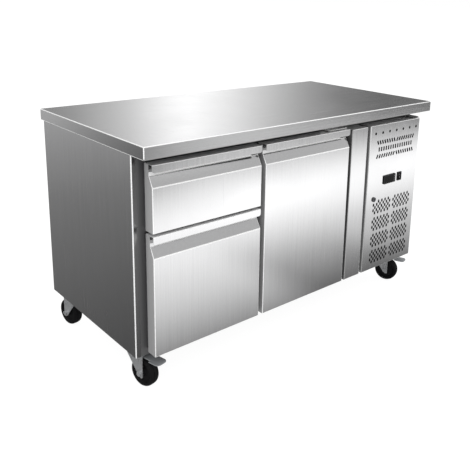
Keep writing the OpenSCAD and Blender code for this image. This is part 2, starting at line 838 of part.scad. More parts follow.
// Brake pedal in the fork's frame: tab, plate over the wheel and pivot pin
module brake_pedal() {
    z0 = wheel_d + 4;
    tab_y = -trail - pedal_l;
    tab_x = pedal_w / 2;
    tab_r = 14;
    arm_x = fork_in - run_gap - 6;
    color("gray") {
        block([-tab_x, tab_y + tab_r, z0], [tab_x, tab_y + 42, z0 + 3]);
        block([tab_r - tab_x, tab_y, z0], [tab_x - tab_r, tab_y + tab_r, z0 + 3]);
        for (x = [tab_r - tab_x, tab_x - tab_r])
            translate([x, tab_y + tab_r, z0]) cylinder(r = tab_r, h = 3);
        block([-arm_x, tab_y + 42, z0], [arm_x, pedal_y + 4, z0 + 3]);
        translate([-fork_out, pedal_y, pedal_z]) rotate([0, 90, 0])
            cylinder(d = pedal_pin_d, h = 2 * fork_out);
    }
}

module front_left_fork() { at_castor(0) fork(true); }
module front_right_fork() { at_castor(1) fork(true); }
module rear_left_fork() { at_castor(2) fork(false); }
module rear_right_fork() { at_castor(3) fork(false); }
module front_left_wheel() { at_castor(0) wheel(); }
module front_right_wheel() { at_castor(1) wheel(); }
module rear_left_wheel() { at_castor(2) wheel(); }
module rear_right_wheel() { at_castor(3) wheel(); }
module left_brake_pedal() { at_castor(0) brake_pedal(); }
module right_brake_pedal() { at_castor(1) brake_pedal(); }

// Tray that carries the machinery
module machine_tray() {
    x0 = bay_x + 6;
    x1 = x_right - sheet_t - 6;
    y0 = y_front + 30;
    y1 = y_back - sheet_t - 10;
    color("lightgray") difference() {
        block([x0, y0, tray_z], [x1, y1, tray_z + 16]);
        block([x0 + tray_t, y0 + tray_t, tray_z + tray_t],
              [x1 - tray_t, y1 - tray_t, tray_z + 17]);
    }
}

// Sealed compressor on four feet, with stubs for its pipes
module compressor() {
    r = compressor_d / 2;
    color("#222222") {
        translate([comp_x, comp_y, comp_z]) {
            rotate_extrude($fn = 64) intersection() {
                translate([0, 8]) square([r, compressor_h - 8]);
                translate([0, compressor_h - r * 1.25]) circle(r = r * 1.25, $fn = 96);
            }
            translate([0, 0, 4]) cylinder(d = compressor_d * 0.7, h = 12);
            for (x = [-30, 30])
                translate([x, -10, 0]) cylinder(d = pipe_d + 6, h = stub_z - comp_z);
            block([-r - 18, -r + 10, 0], [r + 18, r - 10, 4]);
        }
        for (x = [-1, 1], y = [-1, 1])
            translate([comp_x + x * (r + 6), comp_y + y * (r - 22), tray_z + tray_t])
                cylinder(d = 22, h = comp_z - tray_z - tray_t);
    }
}

// Finned block with end plates: fins stand across x, along x or y
module fin_block(size, pitch, along_y) {
    n = floor((along_y ? size[1] : size[0]) / pitch);
    for (i = [0:n - 1])
        translate(along_y ? [0, i * pitch, 0] : [i * pitch, 0, 0])
            cube(along_y ? [size[0], 0.8, size[2]] : [0.8, size[1], size[2]]);
    for (z = [0, size[2] - 2])
        translate([0, 0, z]) cube([size[0], size[1], 2]);
}

// Condenser behind the service panel, with its return bends
module condenser_coil() {
    bends = floor((coil_h - 30) / bend_pitch);
    color("darkgray") {
        translate([coil_x0 + 2, coil_y, tray_z + tray_t])
            fin_block([coil_w, coil_d, coil_h], 8, false);
        for (x = [coil_x0, coil_x1 - 2])
            translate([x, coil_y, tray_z + tray_t]) cube([2, coil_d, coil_h]);
        for (k = [0:bends - 1])
            translate([coil_x0, coil_mid_y, bend_z + k * bend_pitch]) return_bend();
    }
}

// U-shaped bend that stands out of the coil's end along -X
module return_bend() {
    for (dz = [-11, 11])
        translate([0, 0, dz]) rotate([0, -90, 0]) cylinder(d = 8, h = 10);
    translate([-10, 0, 0]) rotate([90, 0, 0])
        intersection() {
            rotate_extrude() translate([11, 0]) circle(d = 8, $fn = 24);
            translate([-20, -20, -20]) cube([20, 40, 40]);
        }
}

// Fan shroud with its motor on a bracket
module condenser_fan_mount() {
    y0 = coil_y + coil_d;
    motor_y = y0 + fan_motor_gap;
    color("#333333") {
        difference() {
            translate([bay_mid - coil_w / 2, y0, tray_z + tray_t]) cube([coil_w, 2, coil_h]);
            translate([bay_mid, y0 - 1, fan_z]) rotate([-90, 0, 0]) cylinder(d = fan_d + 12, h = 4);
        }
        translate([bay_mid, motor_y, fan_z]) rotate([-90, 0, 0])
            cylinder(d = fan_motor_d, h = fan_motor_l);
        for (s = [-1, 1])
            block([bay_mid + s * 33 - 5, motor_y + 20, tray_z + tray_t],
                  [bay_mid + s * 33 + 5, motor_y + 24, fan_z]);
        translate([bay_mid, y0 + fan_gap - 2, fan_z]) rotate([-90, 0, 0])
            cylinder(d = fan_shaft_d, h = fan_motor_gap - fan_gap + 2);
    }
}

// Fan wheel turning about Y through the origin, hub from y = 0 to hub_l
module fan_wheel(d, hub_d, hub_l, chord, shaft_d) {
    blades = 5;
    difference() {
        union() {
            rotate([-90, 0, 0]) cylinder(d = hub_d, h = hub_l);
            for (i = [0:blades - 1])
                rotate([0, i * 360 / blades, 0]) translate([0, hub_l / 2, 0]) rotate([30, 0, 0])
                    intersection() {
                        translate([hub_d / 2 - 6, -1, -chord / 2])
                            cube([(d - hub_d) / 2 + 6, 2, chord]);
                        rotate([90, 0, 0]) cylinder(d = d, h = 4, center = true);
                    }
        }
        translate([0, -1, 0]) rotate([-90, 0, 0])
            cylinder(d = shaft_d + 2 * pin_gap, h = hub_l + 2);
    }
}

module condenser_fan() {
    color("#222222") translate([bay_mid, coil_y + coil_d + fan_gap, fan_z])
        fan_wheel(fan_d, fan_hub_d, fan_hub_l, fan_chord, fan_shaft_d);
}

// Copper pipe through points, with a fitting at each corner
module pipe(points, d) {
    for (i = [0:len(points) - 2]) {
        v = points[i + 1] - points[i];
        len = norm(v);
        translate(points[i])
            rotate([0, acos(v[2] / len), atan2(v[1], v[0])]) cylinder(d = d, h = len);
    }
    for (i = [1:1:len(points) - 2]) translate(points[i]) sphere(d = d + 3);
}

// Suction pipe, liquid pipe with its drier, and hot gas pipe
module refrigerant_pipes() {
    evap_x = cav_r - evap_pipe_in;
    evap_top = cav_z0 + 30 + evap_coil_h;
    suction_x = comp_x - stub_out;
    liquid_x = bay_x + 14;
    gas_x = x_right - gas_in;
    gas_z = stub_z + gas_up;
    low_z = bend_z + bend_pitch / 2;
    thin = pipe_d - 3;
    color("peru") {
        pipe([[evap_x, pipe_y, evap_top], [evap_x, pipe_y, pipe_z], [suction_x, pipe_y, pipe_z],
              [suction_x, comp_y - 10, pipe_z], [suction_x, comp_y - 10, stub_z]], pipe_d);
        pipe([[evap_x, pipe_y + pipe_gap, evap_top], [evap_x, pipe_y + pipe_gap, pipe_z],
              [liquid_x, pipe_y + pipe_gap, pipe_z], [liquid_x, pipe_y + pipe_gap, low_z],
              [liquid_x, coil_mid_y, low_z], [coil_x0, coil_mid_y, low_z]], thin);
        translate([liquid_x, pipe_y + pipe_gap, pipe_z - drier_down])
            cylinder(d = drier_d, h = drier_l);
        pipe([[comp_x + stub_out, comp_y - 10, stub_z], [comp_x + stub_out, comp_y - 10, gas_z],
              [gas_x, comp_y - 10, gas_z], [gas_x, coil_mid_y, gas_z],
              [gas_x, coil_mid_y, low_z], [coil_x1, coil_mid_y, low_z]], thin);
    }
}

// Terminal box on the bay's side of the partition
module electrical_box() {
    t = terminal_t;
    color("lightgray") translate([bay_x, y_back - terminal_back, z_top - terminal_down]) {
        difference() {
            block([0, 0, 0], [terminal_w, terminal_d, terminal_h]);
            block([-1, t, t], [terminal_w - t, terminal_d - t, terminal_h - t]);
        }
        block([terminal_w, 3, 3], [terminal_w + t, terminal_d - 3, terminal_h - 3]);
        block([0, t, t], relay_size + [0, t, t]);
    }
}

// Evaporator with its drain tray
module evaporator_coil() {
    x0 = cover_x + 25;
    color("darkgray") {
        translate([x0, cav_f + 50, cav_z0 + 30])
            fin_block([evap_duct_w - 35, cav_b - cav_f - 120, evap_coil_h], 9, true);
        block([cover_x + sheet_t, cav_f + 30, cav_z0], [cav_r - 1, cav_b - 30, cav_z0 + 4]);
        for (y = [cav_f + 60, cav_b - 90])
            block([x0 + 10, y, cav_z0 + 4], [x0 + 30, y + 20, cav_z0 + 30]);
    }
}

// Cover of the evaporator's duct, with its fan opening and motor
module evaporator_cover() {
    color("whitesmoke") {
        difference() {
            block([cover_x, cav_f, cav_z0], [cover_x + sheet_t, cav_b, cav_z1]);
            translate([cover_x - 1, evap_fan_y, evap_fan_z]) rotate([0, 90, 0])
                cylinder(d = small_fan_d + 10, h = sheet_t + 2);
            for (k = [0:9])
                translate([cover_x - 1, cav_f + intake_in, cav_z0 + 40 + k * 18])
                    cube([sheet_t + 2, cav_b - cav_f - 2 * intake_in, 8]);
        }
        translate([cover_x + 40, evap_fan_y, evap_fan_z]) rotate([0, 90, 0])
            cylinder(d = 46, h = cav_r - cover_x - 40);
        translate([cover_x + 16, evap_fan_y, evap_fan_z]) rotate([0, 90, 0])
            cylinder(d = small_shaft_d, h = 24);
    }
}

module evaporator_fan() {
    color("#222222") translate([cover_x + small_fan_gap, evap_fan_y, evap_fan_z])
        rotate([0, 0, -90])
            fan_wheel(small_fan_d, small_hub_d, small_hub_l, small_chord, small_shaft_d);
}

// Power inlet in the back panel: a recess with three pins
module power_inlet() {
    color("#222222") translate([inlet_x, y_back, inlet_z]) {
        difference() {
            union() {
                block([-inlet_w / 2 + 0.2, -25, 0.2 - inlet_h / 2],
                      [inlet_w / 2 - 0.2, 0, inlet_h / 2 - 0.2]);
                block([-inlet_w / 2 - 8, 0, -inlet_h / 2 - 3], [inlet_w / 2 + 8, 1.8, inlet_h / 2 + 3]);
            }
            block([-12, -18, -8], [12, 3, 8]);
        }
        for (x = [-7, 0, 7])
            block([x - 1, -20, -2 + (x == 0 ? 3 : -1)], [x + 1, -4, 2 + (x == 0 ? 3 : -1)]);
    }
}

// Lean of slot i of n in row k of the vents
function lean(i, n, k) = k == 1 ? 0 : (i < n / 2 ? 1 : -1) * (k == 0 ? 1 : -1) * slot_lean;

// Vents of the service panel, drawn flat: X across, Y up from the panel's bottom
module vent_pattern() {
    for (i = [-3:3])
        translate([panel_mid + i * top_hole_pitch, panel_h - top_hole_down])
            circle(d = top_hole_d, $fn = 24);
    for (k = [0:2]) {
        n = k == 1 ? 15 : 16;
        split = k == 1 ? 0 : (slot_split / 2);
        for (i = [0:n - 1])
            translate([panel_mid + (i - (n - 1) / 2) * slot_pitch + (i < n / 2 ? -1 : 1) * split,
                       panel_h - slot_down - k * slot_row_gap])
                rotate(lean(i, n, k)) square([slot_w, slot_l], center = true);
    }
    for (b = [0:perf_blocks - 1], s = [-1, 1], r = [0:perf_rows - 1]) {
        n = r % 2 ? 6 : 5;
        for (i = [0:n - 1]) {
            x = panel_mid + s * perf_column / 2 + (i - (n - 1) / 2) * perf_pitch;
            z = panel_h - perf_down - b * perf_block - r * perf_row;
            if (norm([x - lock_x, z - panel_h + lock_down]) > (lock_d + perf_l) / 2 + 1)
                translate([x, z]) {
                    square([perf_w, perf_l - perf_w], center = true);
                    for (e = [-1, 1])
                        translate([0, e * (perf_l - perf_w) / 2]) circle(d = perf_w, $fn = 24);
                }
        }
    }
}

// Perforated panel over the machine bay, folded back at its edges
module service_panel() {
    deep = y_front - face_y - panel_clear;
    color("lightgray") at_panel() difference() {
        block([0, 0, 0], [grille_w, deep, panel_h]);
        block([sheet_t, sheet_t, sheet_t], [grille_w - sheet_t, deep + 1, panel_h - sheet_t]);
        translate([0, sheet_t + 1, 0]) rotate([90, 0, 0]) linear_extrude(sheet_t + 2) vent_pattern();
        for (z = [-1, panel_h - sheet_t - 1])
            translate([grille_w - pivot_inset, pivot_back, z])
                cylinder(d = pivot_d + 2 * pin_gap, h = sheet_t + 2);
        block([control_x + case_gap, -1, panel_h - control_down - control_h / 2 + case_gap],
              [control_x + control_w - case_gap, sheet_t + 1,
               panel_h - control_down + control_h / 2 - case_gap]);
        block([switch_x + case_gap, -1, panel_h - control_down - switch_h / 2 + case_gap],
              [switch_x + switch_w - case_gap, sheet_t + 1,
               panel_h - control_down + switch_h / 2 - case_gap]);
        translate([lock_x, -1, panel_h - lock_down]) rotate([-90, 0, 0])
            cylinder(d = lock_d - 4, h = sheet_t + 2);
    }
}

// Controller: face plate with a window, button wells and the case behind
module temperature_controller() {
    z0 = panel_h - control_down - control_h / 2;
    deep = button_travel + 2;
    color("#111111") at_panel() difference() {
        union() {
            translate([control_x, -control_face_t, z0])
                round_plate(control_w, control_h, 3, control_face_t);
            block([control_x + case_gap + run_gap, 0, z0 + case_gap + run_gap],
                  [control_x + control_w - case_gap - run_gap, control_case_d,
                   z0 + control_h - case_gap - run_gap]);
        }
        block([control_x + 8, -control_face_t - 1, z0 + 6],
              [button_x - button_s / 2 - 4, 0.6 - control_face_t, z0 + control_h - 6]);
        for (z = button_zs)
            block([button_x - button_s / 2 - run_gap, -control_face_t - 1, z - button_s / 2 - run_gap],
                  [button_x + button_s / 2 + run_gap, deep - control_face_t,
                   z + button_s / 2 + run_gap]);
    }
}

// Push button k: 0 is the lowest, 2 the highest
module button(k) {
    color("#333333") at_panel()
        translate([button_x, -control_face_t - button_travel - button_out, button_zs[k]])
            block([-button_s / 2, 0, -button_s / 2],
                  [button_s / 2, button_travel + button_out + 2 - run_gap, button_s / 2]);
}

module set_button() { button(1); }
module up_button() { button(2); }
module down_button() { button(0); }

// Case of the power switch, with the ears that hold the rocker's pin
module switch_case() {
    z0 = panel_h - control_down - switch_h / 2;
    color("#111111") at_panel() difference() {
        union() {
            translate([switch_x, -2.5, z0]) round_plate(switch_w, switch_h, 2, 2.5);
            block([switch_x + case_gap + run_gap, 0, z0 + case_gap + run_gap],
                  [switch_x + switch_w - case_gap - run_gap, 26,
                   z0 + switch_h - case_gap - run_gap]);
        }
        block([switch_x + 5, -3.5, z0 + 5], [switch_x + switch_w - 5, 14, z0 + switch_h - 5]);
        translate([switch_x + 3.5, 4, z0 + switch_h / 2]) rotate([0, 90, 0])
            cylinder(d = 3 + 2 * pin_gap, h = switch_w - 7);
    }
}

// Rocker of the power switch, resting on one side
module power_rocker() {
    half = switch_h / 2 - 6.5;
    color("#1a1a1a") at_panel()
        translate([switch_x + switch_w / 2, 4, panel_h - control_down]) rotate([-rocker_tilt, 0, 0]) {
            translate([-switch_w / 2 + 5 + run_gap, 0, 0])
                prism_x([[-8, -half], [-5.5, 0], [-8, half], [2, half * 0.8], [5, 0], [2, -half * 0.8]],
                        switch_w - 10 - 2 * run_gap);
            translate([-switch_w / 2 + 4, 0, 0]) rotate([0, 90, 0]) cylinder(d = 3, h = switch_w - 8);
        }
}

// Lock: face, barrel through the panel and the cam behind it
module lock_barrel() {
    reach = y_front + sheet_t + run_gap - face_y;
    color("silver") at_panel() translate([lock_x, 0, panel_h - lock_down]) {
        difference() {
            translate([0, -4, 0]) rotate([-90, 0, 0]) cylinder(d = lock_d, h = 4 - run_gap / 2);
            block([-1.2, -5, -5], [1.2, -2, 5]);
        }
        translate([0, -run_gap, 0]) rotate([-90, 0, 0])
            cylinder(d = lock_d - 4 - 2 * pin_gap, h = reach + run_gap);
        block([-7, reach, 8 - cam_l], [7, reach + 3, 8]);
    }
}

module door_skin() {
    color("lightgray") at_door() difference() {
        union() {
            front_skin(door_w, front_h);
            for (z = [0, front_h - bush_l])
                translate([door_w - hinge_inset, hinge_back, z]) cylinder(d = bush_d, h = bush_l);
        }
        for (z = [-1, front_h - bush_l - 1])
            translate([door_w - hinge_inset, hinge_back, z])
                cylinder(d = hinge_pin_d + 2 * pin_gap, h = bush_l + 2);
    }
}

module door_liner() {
    color("whitesmoke") at_door() front_liner(door_w, front_h, door_inset);
}

module door_foam() {
    color("khaki") at_door() difference() {
        front_foam(door_w, front_h);
        for (z = [0, front_h - bush_l])
            translate([door_w - hinge_inset, hinge_back, z - 1]) cylinder(d = bush_d, h = bush_l + 2);
    }
}

module door_gasket() {
    color("#333333") at_door() front_gasket(door_w, front_h, door_seal_inset);
}

// Drawer box of height h on its slides' inner members
module drawer_box(h) {
    x0 = (drawer_w - box_w) / 2;
    y0 = front_t + 6;
    difference() {
        block([x0, y0, box_up], [x0 + box_w, front_t + box_l, box_up + h]);
        block([x0 + box_t, y0 + box_t, box_up + box_t],
              [x0 + box_w - box_t, front_t + box_l - box_t, box_up + h + 1]);
    }
    for (s = [0, 1])
        block([s ? x0 + box_w : inner_x - drawer_x, rail_y0 - face_y, slide_up - inner_h / 2],
              [s ? drawer_x + drawer_w - inner_x : x0, front_t + box_l, slide_up + inner_h / 2]);
}

module upper_drawer_skin() { color("lightgray") at_upper() front_skin(drawer_w, upper_front_h); }
module upper_drawer_liner() {
    color("whitesmoke") at_upper() front_liner(drawer_w, upper_front_h, drawer_inset);
}
module upper_drawer_foam() { color("khaki") at_upper() front_foam(drawer_w, upper_front_h); }
module upper_drawer_gasket() {
    color("#333333") at_upper() front_gasket(drawer_w, upper_front_h, drawer_seal_inset);
}
module upper_drawer_box() { color("silver") at_upper() drawer_box(upper_box_h); }

module lower_drawer_skin() { color("lightgray") at_lower() front_skin(drawer_w, lower_front_h); }
module lower_drawer_liner() {
    color("whitesmoke") at_lower() front_liner(drawer_w, lower_front_h, drawer_inset);
}
module lower_drawer_foam() { color("khaki") at_lower() front_foam(drawer_w, lower_front_h); }
module lower_drawer_gasket() {
    color("#333333") at_lower() front_gasket(drawer_w, lower_front_h, drawer_seal_inset);
}
module lower_drawer_box() { color("silver") at_lower() drawer_box(lower_box_h); }

worktop();
worktop_core();
left_side_panel();
right_side_panel();
back_panel();
base_panel();
bay_partition();
cabinet_foam();
inner_liner();
front_frame();
filler_panel();
hinge_brackets();
inner_rack();
wire_shelf();
castor_plates();
machine_tray();
compressor();
condenser_coil();
condenser_fan_mount();
refrigerant_pipes();
electrical_box();
evaporator_coil();
evaporator_cover();
power_inlet();
service_panel();
temperature_controller();
switch_case();
set_button();
up_button();
down_button();
power_rocker();
lock_barrel();
condenser_fan();
evaporator_fan();
door_skin();
door_liner();
door_foam();
door_gasket();
upper_drawer_skin();
upper_drawer_liner();
upper_drawer_foam();
upper_drawer_gasket();
upper_drawer_box();
upper_middle_rails();
lower_drawer_skin();
lower_drawer_liner();
lower_drawer_foam();
lower_drawer_gasket();
lower_drawer_box();
lower_middle_rails();
front_left_fork();
front_right_fork();
rear_left_fork();
rear_right_fork();
front_left_wheel();
front_right_wheel();
rear_left_wheel();
rear_right_wheel();
left_brake_pedal();
right_brake_pedal();
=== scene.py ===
"""Refrigerated counter on castors: looks built around the fixed CAD frame.

Coordinates are those of the frame at rest, in metres, or in millimetres where they go through mm().
"""
import json
import math
import bpy
import bmesh
from mathutils import Matrix, Vector


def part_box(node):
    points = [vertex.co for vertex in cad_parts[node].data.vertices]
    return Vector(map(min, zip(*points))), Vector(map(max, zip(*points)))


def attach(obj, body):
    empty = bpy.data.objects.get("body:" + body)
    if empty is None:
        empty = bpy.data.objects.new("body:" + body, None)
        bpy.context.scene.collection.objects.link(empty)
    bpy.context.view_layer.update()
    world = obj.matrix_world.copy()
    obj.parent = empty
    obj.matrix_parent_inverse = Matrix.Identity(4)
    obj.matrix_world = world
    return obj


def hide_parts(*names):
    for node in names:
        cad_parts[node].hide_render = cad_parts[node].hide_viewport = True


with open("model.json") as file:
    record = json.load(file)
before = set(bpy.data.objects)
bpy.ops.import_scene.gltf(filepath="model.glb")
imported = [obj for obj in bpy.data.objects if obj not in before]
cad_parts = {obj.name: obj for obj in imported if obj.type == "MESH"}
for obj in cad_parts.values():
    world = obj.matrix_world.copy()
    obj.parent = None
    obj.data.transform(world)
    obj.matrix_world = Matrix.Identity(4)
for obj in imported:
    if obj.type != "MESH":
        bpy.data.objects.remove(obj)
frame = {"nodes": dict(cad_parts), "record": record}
nodes = frame["nodes"]
scene = bpy.context.scene
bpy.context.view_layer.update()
SKINS = ("door_skin", "upper_drawer_skin", "lower_drawer_skin")
LIP_H = 0.0245        # from a front's top edge down to the lower edge of its lip
POCKET_H = 0.0352     # from a front's top edge down to the bottom of its finger pocket
POCKET_Y = 0.0190     # from a front's face back to just before the rear wall of the pocket
BODY_X = 0.67         # half width over the side panels
SIDE_Y = -0.26        # front edges of the side panels
STEEL = (0.81, 0.81, 0.815)
STEEL_ROUGH = 0.14
# near-white of the painted highlight lines on the bends
HIGHLIGHT_WHITE = (0.96, 0.96, 0.96)
ALONG_X, ALONG_Z = 0, 2
FRAME_PX = 470        # width and height of the picture
SENSOR = 36.0


# ---------------------------------------------------------------- materials
LOOK = "look_"        # before the names of all materials


class Mat:
    """A node material with short helpers for its nodes."""

    def __init__(self, name, **sockets):
        self.m = bpy.data.materials.new(LOOK + name)
        self.m.use_nodes = True
        self.t = self.m.node_tree
        self.b = self.t.nodes["Principled BSDF"]
        self.at = self.t.nodes.new("ShaderNodeTexCoord").outputs["Object"]
        for key, value in sockets.items():
            self.set(key.replace("_", " "), value)

    def set(self, socket, value):
        if isinstance(value, tuple) and len(value) == 3:
            value = (*value, 1)
        self.b.inputs[socket].default_value = value

    def link(self, out, socket):
        self.t.links.new(out, self.b.inputs[socket])

    def node(self, kind, **props):
        n = self.t.nodes.new("ShaderNode" + kind)
        for k, v in props.items():
            setattr(n, k, v)
        return n

    def stretched(self, scale, turn=(0, 0, 0)):
        n = self.node("Mapping")
        n.inputs["Scale"].default_value = scale
        n.inputs["Rotation"].default_value = turn
        self.t.links.new(self.at, n.inputs["Vector"])
        return n.outputs["Vector"]

    def noise(self, at, scale=1.0, detail=3.0, rough=0.55, warp=0.0):
        n = self.node("TexNoise")
        n.inputs["Scale"].default_value = scale
        n.inputs["Detail"].default_value = detail
        n.inputs["Roughness"].default_value = rough
        n.inputs["Distortion"].default_value = warp
        self.t.links.new(at, n.inputs["Vector"])
        return n.outputs["Fac"]

    def cells(self, scale):
        n = self.node("TexVoronoi")
        n.inputs["Scale"].default_value = scale
        self.t.links.new(self.at, n.inputs["Vector"])
        return n.outputs["Distance"]

    def ramp(self, fac, lo, hi, a=0.3, b=0.7):
        """Maps fac from a..b to lo..hi; colours or numbers."""
        if isinstance(lo, (int, float)):
            n = self.node("MapRange")
            for k, v in zip(("From Min", "From Max", "To Min", "To Max"), (a, b, lo, hi)):
                n.inputs[k].default_value = v
            self.t.links.new(fac, n.inputs["Value"])
            return n.outputs["Result"]
        n = self.node("ValToRGB")
        e = n.color_ramp.elements
        e[0].position, e[1].position = a, b
        e[0].color, e[1].color = (*lo, 1), (*hi, 1)
        self.t.links.new(fac, n.inputs["Fac"])
        return n.outputs["Color"]

    def calc(self, x, y, op="ADD"):
        n = self.node("Math", operation=op)
        for i, v in enumerate((x, y)):
            if isinstance(v, (int, float)):
                n.inputs[i].default_value = v
            else:
                self.t.links.new(v, n.inputs[i])
        return n.outputs[0]

    def both(self, a, b):
        return self.calc(a, b, "MULTIPLY")

    def inverse(self, mask):
        return self.calc(1.0, mask, "SUBTRACT")

    def along(self, axis):
        """The object coordinate on one axis, in metres."""
        n = self.node("SeparateXYZ")
        self.t.links.new(self.at, n.inputs[0])
        return n.outputs[axis]

    def beyond(self, axis, at, soft=0.0003):
        """Mask: 1 where the object coordinate on that axis is over at, else 0."""
        return self.ramp(self.along(axis), 0.0, 1.0, at - soft, at + soft)

    def between(self, axis, a, b, soft=0.0003):
        """Mask: 1 where the object coordinate on that axis lies from a to b."""
        return self.both(self.beyond(axis, a, soft), self.inverse(self.beyond(axis, b, soft)))

    def dull_and_shade_sides(self, node, k=0.48, metal=0.3, more=None):
        """The sides and top of a front scatter more and mirror less; its sides are darkened with
        painted shade.

        k is the tint of the sides' painted shade, metal the metallic value there, more a further
        mask to dull.
        """
        lo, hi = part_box(node)
        side = self.inverse(self.between("X", lo.x + 0.0005, hi.x - 0.0005))
        dull = self.calc(side, self.beyond("Z", hi.z - 0.0005), "MAXIMUM")
        if more:
            dull = self.calc(dull, more, "MAXIMUM")
        self.link(self.ramp(dull, 1.0, metal, 0.0, 1.0), "Metallic")
        # painted shade on the sides, which stand in the gaps between the fronts
        self.tint(side, k)

    def tint(self, mask, k):
        """Multiplies the base colour by k where mask is 1."""
        old = self.b.inputs["Base Color"].links[0].from_socket
        n = self.node("Mix", data_type="RGBA", blend_type="MULTIPLY")
        n.inputs["B"].default_value = (k, k, k, 1)
        self.t.links.new(mask, n.inputs["Factor"])
        self.t.links.new(old, n.inputs["A"])
        self.link(n.outputs["Result"], "Base Color")

    def bump(self, height, distance, strength):
        n = self.node("Bump")
        n.inputs["Distance"].default_value = distance
        n.inputs["Strength"].default_value = strength
        self.t.links.new(height, n.inputs["Height"])
        self.link(n.outputs["Normal"], "Normal")


def shade(c, k):
    """A colour k times as bright."""
    return tuple(min(1.0, v * k) for v in c)


def brushed(name, colour, rough, grain, spread=0.05, metal=1.0, plain=True):
    """Brushed sheet: fine streaks along one axis, faint cloudiness and a few hairline scratches.

    Gives the Blender material, or with plain=False the Mat, so that masks can be added.
    """
    m = Mat(name, Metallic=metal)

    def streaks(across, along, **more):
        scale = [across] * 3
        scale[grain] = along
        return m.stretched(scale, **more)

    fine = m.noise(streaks(1400.0, 9.0), detail=2.0)
    band = m.noise(streaks(260.0, 3.0), detail=2.0)
    hair = m.noise(streaks(420.0, 2.2, turn=(0.02, 0.02, 0.02)), detail=1.0)
    cloud = m.noise(m.at, scale=4.0, detail=4.0, warp=0.4)
    grained = m.both(m.calc(fine, band), 0.5)
    m.link(m.ramp(grained, shade(colour, 1 - spread), shade(colour, 1 + spread), 0.35, 0.65),
           "Base Color")
    scratch = m.ramp(hair, 0.0, 0.10, 0.70, 0.78)
    r = m.calc(m.ramp(grained, rough - 0.05, rough + 0.05), m.ramp(cloud, -0.03, 0.03))
    m.link(m.calc(r, scratch), "Roughness")
    m.bump(grained, 0.00012, 0.35)
    return m.m if plain else m


def painted(name, colour, rough, grit=900.0, depth=0.0001, spread=0.08, wear=None, coat=0.0,
            metal=0.0, plain=True):
    """Sprayed coat: orange peel, slight tone drift and, where asked, rubbed patches."""
    m = Mat(name, Metallic=metal)
    m.set("Coat Weight", coat)
    cloud = m.noise(m.at, scale=9.0, detail=5.0, warp=0.6)
    tone = m.ramp(cloud, shade(colour, 1 - spread), shade(colour, 1 + spread))
    if wear:
        rub = m.node("Mix", data_type="RGBA")
        spots = m.ramp(m.noise(m.at, scale=60.0, detail=6.0, rough=0.7), 0.0, 1.0, 0.62, 0.70)
        m.t.links.new(spots, rub.inputs["Factor"])
        m.t.links.new(tone, rub.inputs["A"])
        rub.inputs["B"].default_value = (*wear, 1)
        tone = rub.outputs["Result"]
        m.link(spots, "Metallic")
    m.link(tone, "Base Color")
    m.link(m.ramp(cloud, rough - 0.06, rough + 0.08), "Roughness")
    m.bump(m.noise(m.at, scale=grit, detail=2.0), depth, 0.5)
    return m.m if plain else m


def plated(name, colour, rough, scale=220.0, metal=1.0):
    """Zinc-plated steel: mottled crystals, dull and bright in turn."""
    m = Mat(name, Metallic=metal)
    crystal = m.cells(scale)
    cloud = m.noise(m.at, scale=35.0, detail=4.0)
    mixed = m.both(m.calc(crystal, cloud), 0.5)
    m.link(m.ramp(mixed, shade(colour, 0.86), shade(colour, 1.08)), "Base Color")
    m.link(m.ramp(mixed, rough - 0.08, rough + 0.12), "Roughness")
    m.bump(cloud, 0.00015, 0.3)
    return m.m


def moulded(name, colour, rough, grit=1600.0, depth=0.00008, spread=0.1, shine=0.5):
    """Moulded plastic or rubber: fine grain, uneven sheen, a little dust."""
    m = Mat(name)
    m.set("Specular IOR Level", shine)
    cloud = m.noise(m.at, scale=25.0, detail=5.0)
    m.link(m.ramp(cloud, shade(colour, 1 - spread), shade(colour, 1 + spread)), "Base Color")
    m.link(m.ramp(cloud, rough - 0.07, rough + 0.07), "Roughness")
    m.bump(m.cells(grit), depth, 0.5)
    return m.m


BODY = brushed("body_steel", STEEL, STEEL_ROUGH, ALONG_Z)
LINER = brushed("liner_steel", (0.76, 0.765, 0.77), 0.30, ALONG_X, 0.03)
# painted highlight lines on the bends: near-white and little metallic, so they read bright from
# every side
EDGE_HIGHLIGHT = brushed("polished_edge", HIGHLIGHT_WHITE, 0.30, ALONG_X, 0.02, metal=0.35)
ZINC = plated("zinc_steel", (0.56, 0.57, 0.58), 0.32, metal=0.75)
TRAY = plated("tray_metal", (0.68, 0.69, 0.70), 0.42, 90.0)
ALU = plated("coil_aluminium", (0.78, 0.79, 0.80), 0.34, 400.0)
SHELF = painted("shelf_coating", (0.62, 0.63, 0.64), 0.38, 700.0, 0.00008)
COMPRESSOR = painted("compressor_coat", (0.018, 0.018, 0.019), 0.36, 500.0, 0.00018,
                     wear=(0.20, 0.20, 0.20), coat=0.2)
PEDAL = painted("pedal_coat", (0.24, 0.25, 0.26), 0.45, 900.0, 0.0001, wear=(0.55, 0.55, 0.55))
COPPER = plated("copper", (0.78, 0.42, 0.27), 0.30, 60.0)
BOX = moulded("box_plastic", (0.58, 0.60, 0.61), 0.50)
COVER = moulded("cover_plastic", (0.83, 0.83, 0.82), 0.42)
